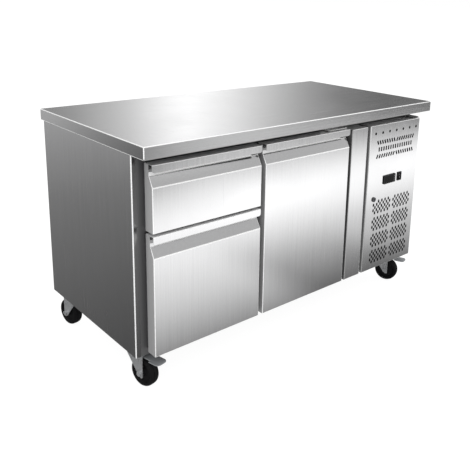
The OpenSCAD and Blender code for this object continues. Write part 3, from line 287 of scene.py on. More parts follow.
# coated board under the worktop, made near-black so that it also paints the shade under the
# overhang
BOARD_AND_SHADE = painted("worktop_underside", (0.010, 0.010, 0.0105), 0.55, 500.0, 0.0001)
FAN = moulded("fan_plastic", (0.022, 0.022, 0.023), 0.48)
BUTTON = moulded("button_plastic", (0.045, 0.045, 0.048), 0.42, 2500.0, 0.00004, shine=0.3)
CONTROL = moulded("control_plastic", (0.008, 0.008, 0.0085), 0.30, 2500.0, 0.00002, shine=0.12)
SWITCH = moulded("switch_plastic", (0.004, 0.004, 0.0045), 0.26, 2500.0, 0.00002, shine=0.08)
WHEEL = moulded("wheel_rubber", (0.0045, 0.0045, 0.005), 0.5, 700.0, 0.0002, 0.3, shine=0.2)
GLASS = moulded("window_plastic", (0.002, 0.002, 0.0022), 0.12, 2500.0, 0.00001, shine=0.08)
DIGIT = moulded("digit_plastic", (0.010, 0.010, 0.0105), 0.4, 2500.0, 0.00001, shine=0.1)
MARK = moulded("mark_plastic", (0.30, 0.30, 0.30), 0.5, 2500.0, 0.00002)
FILTER = moulded("filter_foam", (0.012, 0.012, 0.013), 0.9, 900.0, 0.0004, 0.4, shine=0.05)


def gasket_material():
    """Dark rubber of the door and drawer seals."""
    m = Mat("gasket_rubber", Roughness=0.62)
    m.link(m.ramp(m.noise(m.at, 40.0, 4.0), (0.030, 0.030, 0.033), (0.060, 0.060, 0.064)),
           "Base Color")
    m.bump(m.noise(m.at, 1500.0, 2.0), 0.00008, 0.6)
    return m.m


def foam_material():
    """Foamed insulation, as its cut cells look."""
    m = Mat("insulation", Roughness=0.9)
    cell = m.cells(700.0)
    m.link(m.ramp(cell, (0.52, 0.43, 0.22), (0.74, 0.66, 0.42), 0.1, 0.7), "Base Color")
    m.bump(cell, 0.0008, 0.8)
    return m.m


def lock_material():
    """Dark satin metal of the lock's barrel."""
    m = Mat("lock_metal", Metallic=0.6)
    c = m.noise(m.at, 90.0, 5.0)
    m.link(m.ramp(c, (0.055, 0.055, 0.06), (0.09, 0.09, 0.095)), "Base Color")
    m.link(m.ramp(c, 0.25, 0.38), "Roughness")
    return m.m


def front_sheet(name):
    """Brushed sheet of the fronts, to be given masks."""
    return brushed(name, STEEL, STEEL_ROUGH, ALONG_Z, 0.035, plain=False)


def skin_material(node):
    """Front sheet with painted shade behind its lip, dull on the rear wall below the lip, and with
    painted shade on its sides.
    """
    lo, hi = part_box(node)
    m = front_sheet(node + "_steel")
    behind = m.both(m.between("Z", hi.z - LIP_H, hi.z - 0.0006), m.beyond("Y", lo.y + 0.0004))
    # painted shade inside the finger pocket, behind the lip
    m.tint(m.both(behind, m.between("X", lo.x + 0.0007, hi.x - 0.0007)), 0.36)
    below = m.both(m.between("Z", hi.z - POCKET_H, hi.z - LIP_H), m.beyond("Y", lo.y + POCKET_Y))
    m.dull_and_shade_sides(node, more=below)
    return m.m


def worktop_material():
    """Worktop sheet; its end faces fall into shade towards the front corner."""
    m = brushed("worktop_steel", (0.80, 0.80, 0.805), 0.18, ALONG_X, plain=False)
    lo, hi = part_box("worktop")
    ends = m.inverse(m.between("X", lo.x + 0.0003, hi.x - 0.0003))
    m.tint(m.both(ends, m.ramp(m.along("Y"), 1.0, 0.0, lo.y, 0.25)), 0.5)
    return m.m


def filler_material():
    """Front sheet with painted shade on its sides."""
    m = front_sheet("filler_steel")
    # sides darkened to 0.12 as painted shade
    m.dull_and_shade_sides("filler_panel", 0.12)
    return m.m


def bracket_material():
    """Hinge brackets; those of the service panel stand in the shade under the worktop."""
    m = painted("bracket_steel", (0.93, 0.93, 0.92), 0.30, metal=0.15, plain=False)
    m.tint(m.beyond("X", 0.6), 0.10)
    return m.m


def edge_highlight_material(node, dark, k, grain=ALONG_Z):
    """Bend of one node in near-white, a painted highlight line; dark(m) gives the mask of the bends
    that stay in the shade, tinted by k as painted shade.
    """
    m = brushed(node + "_bend", HIGHLIGHT_WHITE, 0.30, grain, 0.02, metal=0.35, plain=False)
    m.tint(dark(m), k)
    return m.m


def panel_material():
    """Service panel: painted shade darkens the punched walls of its slots and holes, and its sides.
    """
    lo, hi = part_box("service_panel")
    m = front_sheet("service_panel_steel")
    wall = m.between("Y", lo.y + 0.0002, lo.y + 0.001, 0.0001)
    for axis, a, b in (("X", lo.x, hi.x), ("Z", lo.z, hi.z)):
        wall = m.both(wall, m.between(axis, a + 0.004, b - 0.004))
    # painted shade on the walls of the punched holes and slots
    m.tint(wall, 0.08)
    m.dull_and_shade_sides("service_panel", 0.32)
    return m.m


def side_material():
    """Side sheet; its folded front edge stands in the shade of the fronts."""
    m = brushed("side_steel", (0.74, 0.74, 0.745), 0.17, ALONG_Z, plain=False)
    edge = m.inverse(m.beyond("Y", SIDE_Y + 0.0012))
    inner = m.between("X", 0.0004 - BODY_X, BODY_X - 0.0004)
    m.tint(m.both(edge, inner), 0.30)
    return m.m


GASKET = gasket_material()
SIDE = side_material()

# Materials by the name of their slot, and those of the nodes that have their own
BY_SLOT = {m.name[len(LOOK):]: m for m in (
    SHELF, TRAY, ALU, COMPRESSOR, FAN, COPPER, BOX, COVER, GASKET, foam_material(), CONTROL,
    BUTTON, SWITCH, lock_material(), WHEEL, PEDAL, ZINC, LINER, BODY)}
BY_NODE = {
    "worktop": worktop_material(), "worktop_core": BOARD_AND_SHADE, "service_panel": panel_material(),
    # front frame near-black: painted shade in the gaps beside and between the fronts
    "front_frame": brushed("frame_steel", (0.11, 0.11, 0.112), 0.34, ALONG_Z, metal=0.35),
    "filler_panel": filler_material(), "hinge_brackets": bracket_material(),
    "left_side_panel": SIDE, "right_side_panel": SIDE,
    **{skin: skin_material(skin) for skin in SKINS}}
slot_of = {s["node"]: s["material_slot"] for s in frame["record"]["subparts"]}


def dress(node, material):
    mesh = nodes[node].data
    if not mesh.materials:
        mesh.materials.append(material)
    for i in range(len(mesh.materials)):
        mesh.materials[i] = material


for name in nodes:
    dress(name, BY_NODE[name] if name in BY_NODE else BY_SLOT[slot_of[name]])


# ------------------------------------------------------------------- edges
def bevel(o, width, segments=2):
    b = o.modifiers.new("round", "BEVEL")
    b.width = width
    b.segments = segments
    b.limit_method = "ANGLE"
    b.angle_limit = math.radians(40)
    b.harden_normals = True
    return b


def soften(node, width, segments, edge=None, where=None):
    """Rounds a CAD node's sharp edges as a press or a folder leaves them.

    edge is the material of the rounded bends, which carries their painted highlight; where(x, y, z)
    picks the corners between which edges are rounded, and without it all sharp edges are.
    """
    o = nodes[node]
    if edge:
        o.data.materials.append(edge)
    if where:
        group = o.vertex_groups.new(name="bent")
        group.add([v.index for v in o.data.vertices if where(v.co.x, v.co.y, v.co.z)], 1.0, "ADD")
    w = o.modifiers.new("join", "WELD")
    w.merge_threshold = 0.00001
    d = o.modifiers.new("flat", "DECIMATE")
    d.decimate_type = "DISSOLVE"
    d.angle_limit = math.radians(0.4)
    b = bevel(o, width, segments)
    if where:
        b.limit_method = "VGROUP"
        b.vertex_group = "bent"
    if edge:
        b.material = 1


def near(a, *values):
    return any(abs(a - v) < 0.0003 for v in values)


def bend_edges():
    """Painted highlight lines along the bends of the sheets; forks, pedals and brackets lose their
    burrs.
    """
    lo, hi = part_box("worktop")

    def under_front(m):
        over = m.calc(m.beyond("Z", lo.z + 0.004), m.beyond("Y", lo.y + 0.004), "MAXIMUM")
        return m.calc(over, 1.0, "LESS_THAN")

    soften("worktop", 0.0025, 3, edge_highlight_material("worktop", under_front, 0.32, ALONG_X),
           lambda x, y, z: near(x, lo.x, hi.x) and near(y, lo.y, hi.y) and near(z, lo.z, hi.z))
    for side, x0 in (("left_side_panel", -BODY_X), ("right_side_panel", BODY_X)):
        soften(side, 0.003, 3, EDGE_HIGHLIGHT, lambda x, y, z: near(x, x0) and near(y, SIDE_Y))
    for skin in SKINS:
        lo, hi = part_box(skin)
        soften(skin, 0.002, 2, EDGE_HIGHLIGHT, lambda x, y, z: near(x, lo.x, hi.x) and (
            near(y, lo.y) and (z < hi.z - 0.06 or near(z, hi.z))
            or near(y, lo.y + 0.02) and near(z, hi.z - 0.035)))
    for panel in ("filler_panel", "service_panel"):
        lo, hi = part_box(panel)
        left = edge_highlight_material(panel, lambda m: m.inverse(m.beyond("X", lo.x + 0.004)), 0.4)
        soften(panel, 0.002, 2, left,
               lambda x, y, z: near(x, lo.x, hi.x) and near(y, lo.y) and near(z, lo.z, hi.z))
    for node in ("hinge_brackets", "front_left_fork", "front_right_fork", "rear_left_fork",
                 "rear_right_fork"):
        soften(node, 0.0008, 2)
    for node in ("left_brake_pedal", "right_brake_pedal"):
        soften(node, 0.0009, 2)


bend_edges()


# ------------------------------------------------------------------- pieces
def build(name, verts, faces, material, body, slot, replaces=(), sharp=35, round_by=0.0):
    """A closed mesh piece that moves with a body; round_by rounds its sharp edges."""
    mesh = bpy.data.meshes.new(name)
    mesh.from_pydata([tuple(v) for v in verts], [], [tuple(f) for f in faces])
    bm = bmesh.new()
    bm.from_mesh(mesh)
    bmesh.ops.recalc_face_normals(bm, faces=bm.faces)
    bm.to_mesh(mesh)
    bm.free()
    mesh.shade_smooth()
    mesh.set_sharp_from_angle(angle=math.radians(sharp))
    mesh.materials.append(material)
    o = bpy.data.objects.new(name, mesh)
    scene.collection.objects.link(o)
    if round_by:
        bevel(o, round_by)
    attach(o, body)
    if replaces:
        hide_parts(*replaces)


class Shape:
    """Gathers closed parts of one mesh."""

    def __init__(self):
        self.v, self.f = [], []

    def put(self, verts, faces):
        n = len(self.v)
        self.v += [Vector(v) for v in verts]
        self.f += [[n + i for i in f] for f in faces]

    def block(self, a, b):
        """Box from its lowest to its highest corner."""
        verts = [(x, y, z) for z in (a[2], b[2]) for y in (a[1], b[1]) for x in (a[0], b[0])]
        self.put(verts, [(0, 2, 3, 1), (4, 5, 7, 6), (0, 1, 5, 4), (2, 6, 7, 3), (0, 4, 6, 2),
                         (1, 3, 7, 5)])

    def rings(self, rings, closed=False, caps=True):
        """Joins rings of equal length; the last meets the first where closed."""
        k = len(rings[0])
        faces = []
        for i in range(len(rings) - (0 if closed else 1)):
            j = (i + 1) % len(rings)
            faces += [(i * k + a, i * k + (a + 1) % k, j * k + (a + 1) % k, j * k + a)
                      for a in range(k)]
        if caps and not closed:
            faces += [tuple(range(k)), tuple(reversed(range(len(rings) * k - k, len(rings) * k)))]
        self.put([v for ring in rings for v in ring], faces)

    def lathe(self, profile, at, axis, turns):
        """Turns a closed loop of points (radius, height) round an axis through at."""
        axis = Vector(axis).normalized()
        side = axis.orthogonal().normalized()
        other = axis.cross(side)
        rings = []
        for i in range(turns):
            a = 2 * math.pi * i / turns
            out = side * math.cos(a) + other * math.sin(a)
            rings.append([Vector(at) + out * r + axis * h for r, h in profile])
        k = len(profile)
        faces = []
        for i in range(turns):
            j = (i + 1) % turns
            faces += [(i * k + a, i * k + a + 1, j * k + a + 1, j * k + a) for a in range(k - 1)]
            faces.append((i * k + k - 1, i * k, j * k, j * k + k - 1))
        self.put([v for ring in rings for v in ring], faces)

    def tube(self, points, d, bend, sides=14):
        """Round pipe through points, its corners bent to a radius."""
        path = [Vector(points[0])]
        for a, p, b in zip(points, points[1:], points[2:]):
            a, p, b = Vector(a), Vector(p), Vector(b)
            u, w = (a - p), (b - p)
            r = min(bend, u.length * 0.48, w.length * 0.48)
            u.normalize()
            w.normalize()
            mid = p + (u + w) * r
            for k in range(7):
                t = math.pi / 2 * k / 6
                path.append(mid - w * r * math.cos(t) - u * r * math.sin(t))
        path.append(Vector(points[-1]))
        rings, side = [], None
        for i, p in enumerate(path):
            ahead = (path[min(i + 1, len(path) - 1)] - path[max(i - 1, 0)]).normalized()
            side = ahead.orthogonal() if side is None else side - ahead * side.dot(ahead)
            side.normalize()
            up = ahead.cross(side)
            rings.append([p + (side * math.cos(a) + up * math.sin(a)) * d / 2
                          for a in (2 * math.pi * k / sides for k in range(sides))])
        self.rings(rings)

    def made(self, name, material, body, slot, **more):
        build(name, self.v, self.f, material, body, slot, **more)


def mm(*values):
    return tuple(v / 1000 for v in values)


# Section of the seals in mm: across the strip, and from the front's back towards the frame
SEAL_T = 15.6
SEAL = [(0, 0), (14, 0), (14, 2.6), (11.2, 3.2), (12.6, 5.2), (10.6, 7.0), (12.6, 8.8),
        (11.0, 10.4), (14, 11.2), (14, 15.0), (13.4, SEAL_T), (0.6, SEAL_T), (0, 15.0), (0, 11.2),
        (3, 10.4), (1.4, 8.8), (3.4, 7.0), (1.4, 5.2), (2.8, 3.2), (0, 2.6)]


def gaskets():
    """Magnetic bellows seals, welded at their corners."""
    for front in ("door", "upper_drawer", "lower_drawer"):
        lo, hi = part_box(front + "_gasket")
        depth = (hi.y - lo.y) / SEAL_T
        rings = []
        for sx, sz in ((1, 1), (-1, 1), (-1, -1), (1, -1)):
            x0, z0 = (lo.x if sx > 0 else hi.x), (lo.z if sz > 0 else hi.z)
            rings.append([(x0 + sx * u / 1000, lo.y + w * depth, z0 + sz * u / 1000)
                          for u, w in SEAL])
        ring = Shape()
        ring.rings(rings, closed=True)
        ring.made(front + "_seal", GASKET, front, "gasket_rubber", replaces=(front + "_gasket",),
                  round_by=0.0004)


def wheels():
    """Solid rubber tread on a moulded rim, with the tread's two grooves."""
    r, h = 50.0, 18.0           # mm, as are the section's points (radius, half width)
    half = [(5.05, h - 0.4), (5.6, h), (12.8, h), (14, h - 0.8), (15.4, 12.2), (16.6, 11),
            (33.0, 11), (34.4, 12.2), (36.4, 16.2), (37.4, 16.9), (38.2, 16.2), (39, 17.0),
            (43.6, 17.0), (46.4, 15.4), (48.4, 12.4), (49.4, 9.2), (49.75, 6.3), (48.7, 5.7),
            (48.7, 4.9), (49.85, 4.3), (r, 1.6)]
    profile = [mm(a, b) for a, b in half] + [mm(a, -b) for a, b in reversed(half)]
    for joint in frame["record"]["behaviour"]["joints"]:
        if joint["name"].endswith("_roll"):
            corner = joint["name"].removesuffix("_roll")
            tread = Shape()
            tread.lathe(profile, joint["pos_m"], joint["axis"], 96)
            tread.made(corner + "_tyre", WHEEL, corner + "_wheel", "wheel_rubber",
                       replaces=(corner + "_wheel",), sharp=28)


def fan(name, node, hub, axis, d, hub_d, hub_l, rise):
    """Moulded axial fan: domed hub and five cambered, twisted blades.

    hub is the back of the hub on its axis, rise half the depth of a blade at its root.
    """
    axis = Vector(axis)
    side = axis.orthogonal().normalized()
    other = axis.cross(side)
    hub = Vector(hub)
    r0, r1 = hub_d / 2, d / 2
    s = Shape()
    s.lathe([(0.0041, 0), (r0 - 0.0015, 0), (r0, 0.0015), (r0, hub_l - 0.004),
             (r0 - 0.0012, hub_l - 0.0014), (r0 - 0.004, hub_l), (0.0041, hub_l)], hub, axis, 48)
    mid = hub + axis * hub_l / 2
    rows, cols = 9, 11
    for blade in range(5):
        base = 2 * math.pi * blade / 5
        skins = []
        for face in (-1, 1):
            grid = []
            for i in range(rows):
                t = i / (rows - 1)
                r = (r0 - 0.0012) + (r1 - r0 + 0.0012) * t
                span = (0.52 - 0.06 * t) * (1 if t < 0.85 else 1 - (t - 0.85) * 1.2)
                lift = rise * (1.0 - 0.38 * t)
                thick = 0.0011 - 0.0004 * t
                line = []
                for j in range(cols):
                    u = 2 * j / (cols - 1) - 1
                    a = base + 0.26 * t * t + span * u
                    h = lift * u * 0.86 + rise * 0.13 * (1 - u * u)
                    edge = thick * math.sqrt(max(0.0, 1 - u * u * 0.96))
                    out = side * math.cos(a) + other * math.sin(a)
                    line.append(mid + out * r + axis * (h + face * edge))
                grid.append(line)
            skins.append(grid)
        rings = [skins[0][i] + list(reversed(skins[1][i])) for i in range(rows)]
        s.rings(rings)
    s.made(name, FAN, node, "fan_plastic", replaces=(node,), sharp=40)


def fin_packs():
    """Thin plates that fill the coils between the CAD model's own fins."""
    s = Shape()
    for k in range(120):
        x = 380.9 + 2 * k
        if k % 4 != 3:
            s.block(mm(x, -197, 134.2), mm(x + 0.2, -155, 372.2))
    s.made("condenser_fins", ALU, "cabinet", "coil_aluminium")
    s = Shape()
    for k in range(135):
        y = -178.0 + 3 * k
        if k % 3 != 2:
            s.block(mm(223, y, 197), mm(274, y + 0.2, 565))
    s.made("evaporator_fins", ALU, "cabinet", "coil_aluminium")


def pipes():
    """Bent copper runs with a filter drier, in place of the CAD model's mitred ones."""
    s = Shape()
    runs = (
        (10, [(255, 120, 566), (255, 120, 686), (510, 120, 686), (510, 208, 686),
              (510, 208, 320.2)]),
        (7, [(255, 160, 566), (255, 160, 686), (344, 160, 686), (344, 160, 185.2),
             (344, -176, 185.2), (378, -176, 185.2)]),
        (7, [(570, 208, 320.2), (570, 208, 344.2), (644, 208, 344.2), (644, -176, 344.2),
             (644, -176, 185.2), (622, -176, 185.2)]))
    for d, points in runs:
        s.tube([mm(*p) for p in points], d / 1000, 0.018)
        for end in (points[0], points[-1]):
            near_end = points[1] if end == points[0] else points[-2]
            way = (Vector(near_end) - Vector(end)).normalized()
            joint = ((0.4, 0), (d / 2 + 1.2, 0), (d / 2 + 1.2, 9), (d / 2 + 0.2, 11), (0.4, 11))
            s.lathe([mm(*q) for q in joint], mm(*end), way, 20)
    drier = ((0.4, -10), (4.6, -10), (5.2, -8), (5.6, 0), (9.6, 6), (11, 10), (11, 80), (9.6, 84),
             (5.6, 90), (5.2, 98), (4.6, 100), (0.4, 100))
    s.lathe([mm(*q) for q in drier], mm(344, 160, 426), (0, 0, 1), 32)
    s.made("copper_pipes", COPPER, "cabinet", "copper", replaces=("refrigerant_pipes",), sharp=50)


def screw(s, at, axis, r, h):
    """Washer-head screw with a shallow drive recess, standing on a surface."""
    s.lathe([(0.0002, -0.0006), (r * 1.25, -0.0006), (r * 1.25, h * 0.3), (r * 0.92, h * 0.42),
             (r * 0.86, h * 0.8), (r * 0.66, h), (r * 0.36, h), (r * 0.28, h * 0.55),
             (0.0002, h * 0.5)], at, axis, 18)


def machine_details():
    """Seam and terminal cover of the compressor, screws, hoods over the back's louvres."""
    s = Shape()
    s.lathe([(0.0745, 0), (0.0768, 0.0006), (0.0776, 0.0022), (0.0776, 0.0058), (0.0768, 0.0074),
             (0.0745, 0.008)], mm(540, 218, 228), (0, 0, 1), 96)
    s.made("compressor_seam", COMPRESSOR, "cabinet", "compressor_coat")
    s = Shape()
    s.block(mm(517, 128, 218), mm(563, 150, 264))
    s.block(mm(521, 126.4, 222), mm(559, 129, 260))
    screw(s, mm(540, 126.6, 241), (0, -1, 0), 0.003, 0.0012)
    s.made("terminal_cover", FAN, "cabinet", "fan_plastic", round_by=0.0012)

    s = Shape()
    lo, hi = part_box("back_panel")
    y, inset, nx, nz = hi.y - 0.00002, 0.010, 7, 4
    for i in range(nx):
        x = lo.x + inset + (hi.x - lo.x - 2 * inset) * i / (nx - 1)
        screw(s, (x, y, lo.z + inset), (0, 1, 0), 0.0038, 0.0014)
        screw(s, (x, y, hi.z - inset), (0, 1, 0), 0.0038, 0.0014)
    for i in range(1, nz):
        z = lo.z + inset + (hi.z - lo.z - 2 * inset) * i / nz
        for x in (lo.x + inset, 0.318, hi.x - inset):
            screw(s, (x, y, z), (0, 1, 0), 0.0038, 0.0014)
    s.made("back_screws", ZINC, "cabinet", "zinc_steel")

    s = Shape()
    hood = ((0, 9.6), (0.9, 8.4), (1.4, 5.6), (1.5, 2.4), (1.1, 2.4), (1.0, 5.2), (0.6, 7.4),
            (0, 8.3))
    ends = ((-0.5, 0.05), (1.5, 0.7), (4, 1.0), (116, 1.0), (118.5, 0.7), (120.5, 0.05))
    back_y, top, pitch, rows = 347.98, 670, 22, 12
    for x0 in (365, 505):
        for k in range(rows):
            z = top - pitch * k
            s.rings([[mm(x0 + x, back_y + q * f, z + w) for q, w in hood] for x, f in ends])
    s.made("louvre_hoods", BODY, "cabinet", "body_steel", sharp=45)

    s = Shape()
    lo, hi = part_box("evaporator_cover")
    for y in (lo.y + 0.014, hi.y - 0.014):
        for z in (lo.z + 0.016, (lo.z + hi.z) / 2 + 0.02, hi.z - 0.016):
            screw(s, (lo.x + 0.00002, y, z), (-1, 0, 0), 0.004, 0.002)
    s.made("cover_screws", ZINC, "cabinet", "zinc_steel")


def filter_mat():
    """Pleated mat behind the perforations and the vents; it leaves room for the lock."""
    x1, front_y, back_y, pleat = 0.645, -0.3158, -0.3136, 0.0012
    s = Shape()
    # strips by left edge, lower edge, upper edge and folds
    for x0, z0, z1, steps in ((0.362, 0.168, 0.4435, 146), (0.398, 0.4435, 0.452, 128),
                              (0.362, 0.622, 0.748, 146)):
        front, back = [], []
        for i in range(steps + 1):
            x = x0 + (x1 - x0) * i / steps
            fold = pleat if i % 2 else 0.0
            front.append((x, front_y + fold))
            back.append((x, back_y + fold))
        loop = front + list(reversed(back))
        s.rings([[(x, y, z0) for x, y in loop], [(x, y, z1) for x, y in loop]], caps=False)
        n = len(loop)
        base = len(s.v) - 2 * n
        for i in range(steps):
            a, b = i, i + 1
            s.f.append([base + a, base + b, base + n - 1 - b, base + n - 1 - a])
            s.f.append([base + n + a, base + n + n - 1 - a, base + n + n - 1 - b, base + n + b])
    s.made("filter_mat", FILTER, "service_panel", "fan_plastic", sharp=20)


def controller_face():
    """Window of the controller with three seven-segment digits, and marks on its buttons."""
    s = Shape()
    s.block(mm(447.7, -321.95, 513.2), mm(498.3, -321.2, 536.8))
    s.made("controller_window", GLASS, "service_panel", "control_plastic", round_by=0.0003)
    s = Shape()
    for k in range(3):
        x0, z0, w, h, t, lean = 451.8 + 14.6 * k, 517.5, 8.6, 14.8, 1.7, 0.10
        for a, b in (((t * 0.5, 0), (w - t * 0.5, 0)), ((t * 0.5, h / 2), (w - t * 0.5, h / 2)),
                     ((t * 0.5, h), (w - t * 0.5, h)), ((0, t * 0.5), (0, h / 2 - t * 0.5)),
                     ((w, t * 0.5), (w, h / 2 - t * 0.5)), ((0, h / 2 + t * 0.5), (0, h - t * 0.5)),
                     ((w, h / 2 + t * 0.5), (w, h - t * 0.5))):
            a, b = Vector(a), Vector(b)
            d = (b - a).normalized()
            n = Vector((-d.y, d.x))
            shape = [a, a + (d + n) * t / 2, b - (d - n) * t / 2, b, b - (d + n) * t / 2,
                     a + (d - n) * t / 2]
            rings = [[mm(x0 + q.x + lean * q.y, y, z0 + q.y) for q in shape]
                     for y in (-321.9, -322.1)]
            s.rings(rings)
        s.block(mm(x0 + w + 2.4, -322.1, z0 - 0.6), mm(x0 + w + 3.8, -321.9, z0 + 0.8))
    s.made("controller_digits", DIGIT, "service_panel", "control_plastic")

    for name, z, shape in (
            ("set", 516.0, [(-1.6, -0.35), (1.6, -0.35), (1.6, 0.35), (-1.6, 0.35)]),
            ("down", 525.0, [(-1.5, 0.9), (0, -1.2), (1.5, 0.9)]),
            ("up", 534.0, [(-1.5, -0.9), (1.5, -0.9), (0, 1.2)])):
        s = Shape()
        s.rings([[mm(505.5 + a, y, z + b) for a, b in shape] for y in (-323.25, -323.4)])
        s.made(name + "_mark", MARK, name + "_button", "button_plastic")


def rocker_marks():
    """A bar on the upper half of the rocker and a ring on its lower half."""
    rest, rise = math.radians(8), 2.5
    lo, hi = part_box("power_rocker")
    # half height of the rocker's face in mm, from the node's box at rest
    half = (hi.z - lo.z) * 500 / math.cos(rest) * 0.93
    s = Shape()
    place = Matrix.Translation(mm(543, -314, 525)) @ Matrix.Rotation(-rest, 4, "X")
    tilt = math.atan2(rise, half)
    for sign in (-1, 1):
        q = sign * half * 0.5
        front = -5.5 - rise * 0.5 - 0.08
        if sign > 0:
            shape = [(-0.45, q - 2.2), (0.45, q - 2.2), (0.45, q + 2.2), (-0.45, q + 2.2)]
            s.rings([[place @ Vector(mm(a, front + dy - (b - q) * math.tan(tilt), b))
                      for a, b in shape] for dy in (0.1, -0.12)])
        else:
            outer, inner = [], []
            for k in range(20):
                a = 2 * math.pi * k / 20
                for ring, r in ((outer, 2.2), (inner, 1.4)):
                    ring.append((r * math.cos(a), q + r * math.sin(a)))
            loops = []
            for ring, dy in ((outer, 0.1), (outer, -0.12), (inner, -0.12), (inner, 0.1)):
                loops.append([place @ Vector(mm(a, front + dy + (b - q) * math.tan(tilt), b))
                              for a, b in ring])
            s.rings(loops, closed=True)
    s.made("rocker_marks", MARK, "power_rocker", "switch_plastic")


def pieces():
    gaskets()
    wheels()
    fan("condenser_blades", "condenser_fan", mm(500, -138, 263.2), (0, 1, 0),
        0.200, 0.054, 0.018, 0.0145)
    fan("evaporator_blades", "evaporator_fan", mm(205, 40, 651), (1, 0, 0),
        0.110, 0.034, 0.016, 0.0072)
    fin_packs()
    pipes()
    machine_details()
    filter_mat()
    controller_face()
    rocker_marks()


pieces()


# ------------------------------------------------------------ studio, camera
def studio():
    """White surroundings, a pale floor and three soft lights."""
    world = bpy.data.worlds.new("studio")
    scene.world = world
    world.use_nodes = True
    back = world.node_tree.nodes["Background"]
    back.inputs["Color"].default_value = (1, 1, 1, 1)
    back.inputs["Strength"].default_value = 1.0

    mesh = bpy.data.meshes.new("floor")
    s = 60.0
    mesh.from_pydata([(-s, -s, 0), (s, -s, 0), (s, s, 0), (-s, s, 0)], [], [(0, 1, 2, 3)])
    floor = bpy.data.objects.new("floor", mesh)
    scene.collection.objects.link(floor)
    floor.location.z = -0.0004
    pale = Mat("floor_paint", Roughness=0.9)
    pale.link(pale.ramp(pale.noise(pale.at, 0.7, 3.0), (0.15, 0.15, 0.15), (0.17, 0.17, 0.17)),
              "Base Color")
    pale.set("Specular IOR Level", 0.0)
    pale.set("Emission Color", (1, 1, 1))
    pale.set("Emission Strength", 0.93)
    mesh.materials.append(pale.m)
    floor.visible_glossy = False

    for name, at, aim, size, power in (
            ("key", (-2.6, -3.4, 3.6), (0, 0, 0.4), 2.6, 60),
            ("fill", (3.2, -2.6, 2.6), (0, 0, 0.4), 2.2, 25),
            ("rear", (0.5, 3.6, 3.0), (0, 0, 0.5), 2.4, 30)):
        light = bpy.data.lights.new(name, "AREA")
        light.shape = "SQUARE"
        light.size = size
        light.energy = power
        o = bpy.data.objects.new(name, light)
        o.location = at
        o.rotation_mode = "QUATERNION"
        o.rotation_quaternion = (Vector(aim) - Vector(at)).to_track_quat("-Z", "Y")
        o.visible_glossy = False
        scene.collection.objects.link(o)


def glow_card(name, verts, faces, tone):
    """A studio card that only reflections see, its brightness given point by point."""
    mesh = bpy.data.meshes.new(name)
    mesh.from_pydata(verts, [], faces)
    layer = mesh.color_attributes.new("tone", "FLOAT_COLOR", "POINT")
    for i, v in enumerate(verts):
        t = tone(*v)
        layer.data[i].color = (t, t, t, 1)
    m = bpy.data.materials.new(name)
    m.use_nodes = True
    t = m.node_tree
    t.nodes.clear()
    attr = t.nodes.new("ShaderNodeAttribute")
    attr.attribute_name = "tone"
    glow = t.nodes.new("ShaderNodeEmission")
    out = t.nodes.new("ShaderNodeOutputMaterial")
    t.links.new(attr.outputs["Color"], glow.inputs["Color"])
    t.links.new(glow.outputs[0], out.inputs["Surface"])
    m.cycles.emission_sampling = "NONE"
    mesh.materials.append(m)
    o = bpy.data.objects.new(name, mesh)
    scene.collection.objects.link(o)
    o.visible_camera = False
    o.visible_diffuse = False
    o.visible_transmission = False
    o.visible_volume_scatter = False
    o.visible_shadow = False


def table(points, x):
    """Straight-line lookup in a list of (x, value)."""
    if x <= points[0][0]:
        return points[0][1]
    for (x0, y0), (x1, y1) in zip(points, points[1:]):
        if x <= x1:
            return y0 + (y1 - y0) * (x - x0) / (x1 - x0)
    return points[-1][1]


# Brightness of the floor's reflection: in front of the fronts by distance from them (GLOW, and
# DIP for a darker streak), by place along them (END), more before the drawers, beside the
# counter by depth, and behind it by distance
FRONT_GLOW = [(0, 0.10), (0.2, 0.16), (0.29, 0.24), (0.38, 0.33), (0.475, 0.43), (0.585, 0.56),
              (0.71, 0.74), (0.84, 0.94), (1.0, 1.14), (1.18, 1.29), (1.38, 1.29), (1.62, 1.06),
              (1.85, 0.84), (2.24, 0.50), (2.73, 0.72), (3.4, 0.85), (4.5, 0.6), (9, 0.45)]
FRONT_DIP = [(0, 0), (1.0, 0.1), (1.38, 0.33), (2.73, 0.86)]
FRONT_END = [(1.9, 1.0), (3.0, 0.65), (4.8, 0.12), (9, 0.4)]
DRAWER_GLOW = [(0.25, 1.05), (0.475, 0.75), (0.71, 0.32), (1.0, 0)]
SIDE_GLOW = [(-0.3, 0.12), (0, 0.095), (0.77, 0.16), (1.79, 0.225), (2.07, 0.26), (3.6, 0.39),
             (6, 0.5)]
BACK_GLOW = [(0, 0.18), (0.5, 0.40), (1.2, 0.75), (2.5, 0.65), (9, 0.4)]
# Light and dark bands of the walls that the worktop mirrors, by degrees from BAND_AT
BAND_GLOW = [(-45, 0.14), (-21, 0.14), (-12, 0.30), (-6, 0.64), (-2, 1.12), (0, 1.3), (4, 1.0),
             (8, 0.67), (12, 0.40), (16, 0.22), (21, 0.13), (45, 0.14)]
BAND_AT = 33.5
FRONT_Y = -0.318      # from here the distance in front of the fronts is counted


def smooth(x, a, b):
    t = min(1.0, max(0.0, (x - a) / (b - a)))
    return t * t * (3 - 2 * t)


def mix(a, b, t):
    return a + (b - a) * t


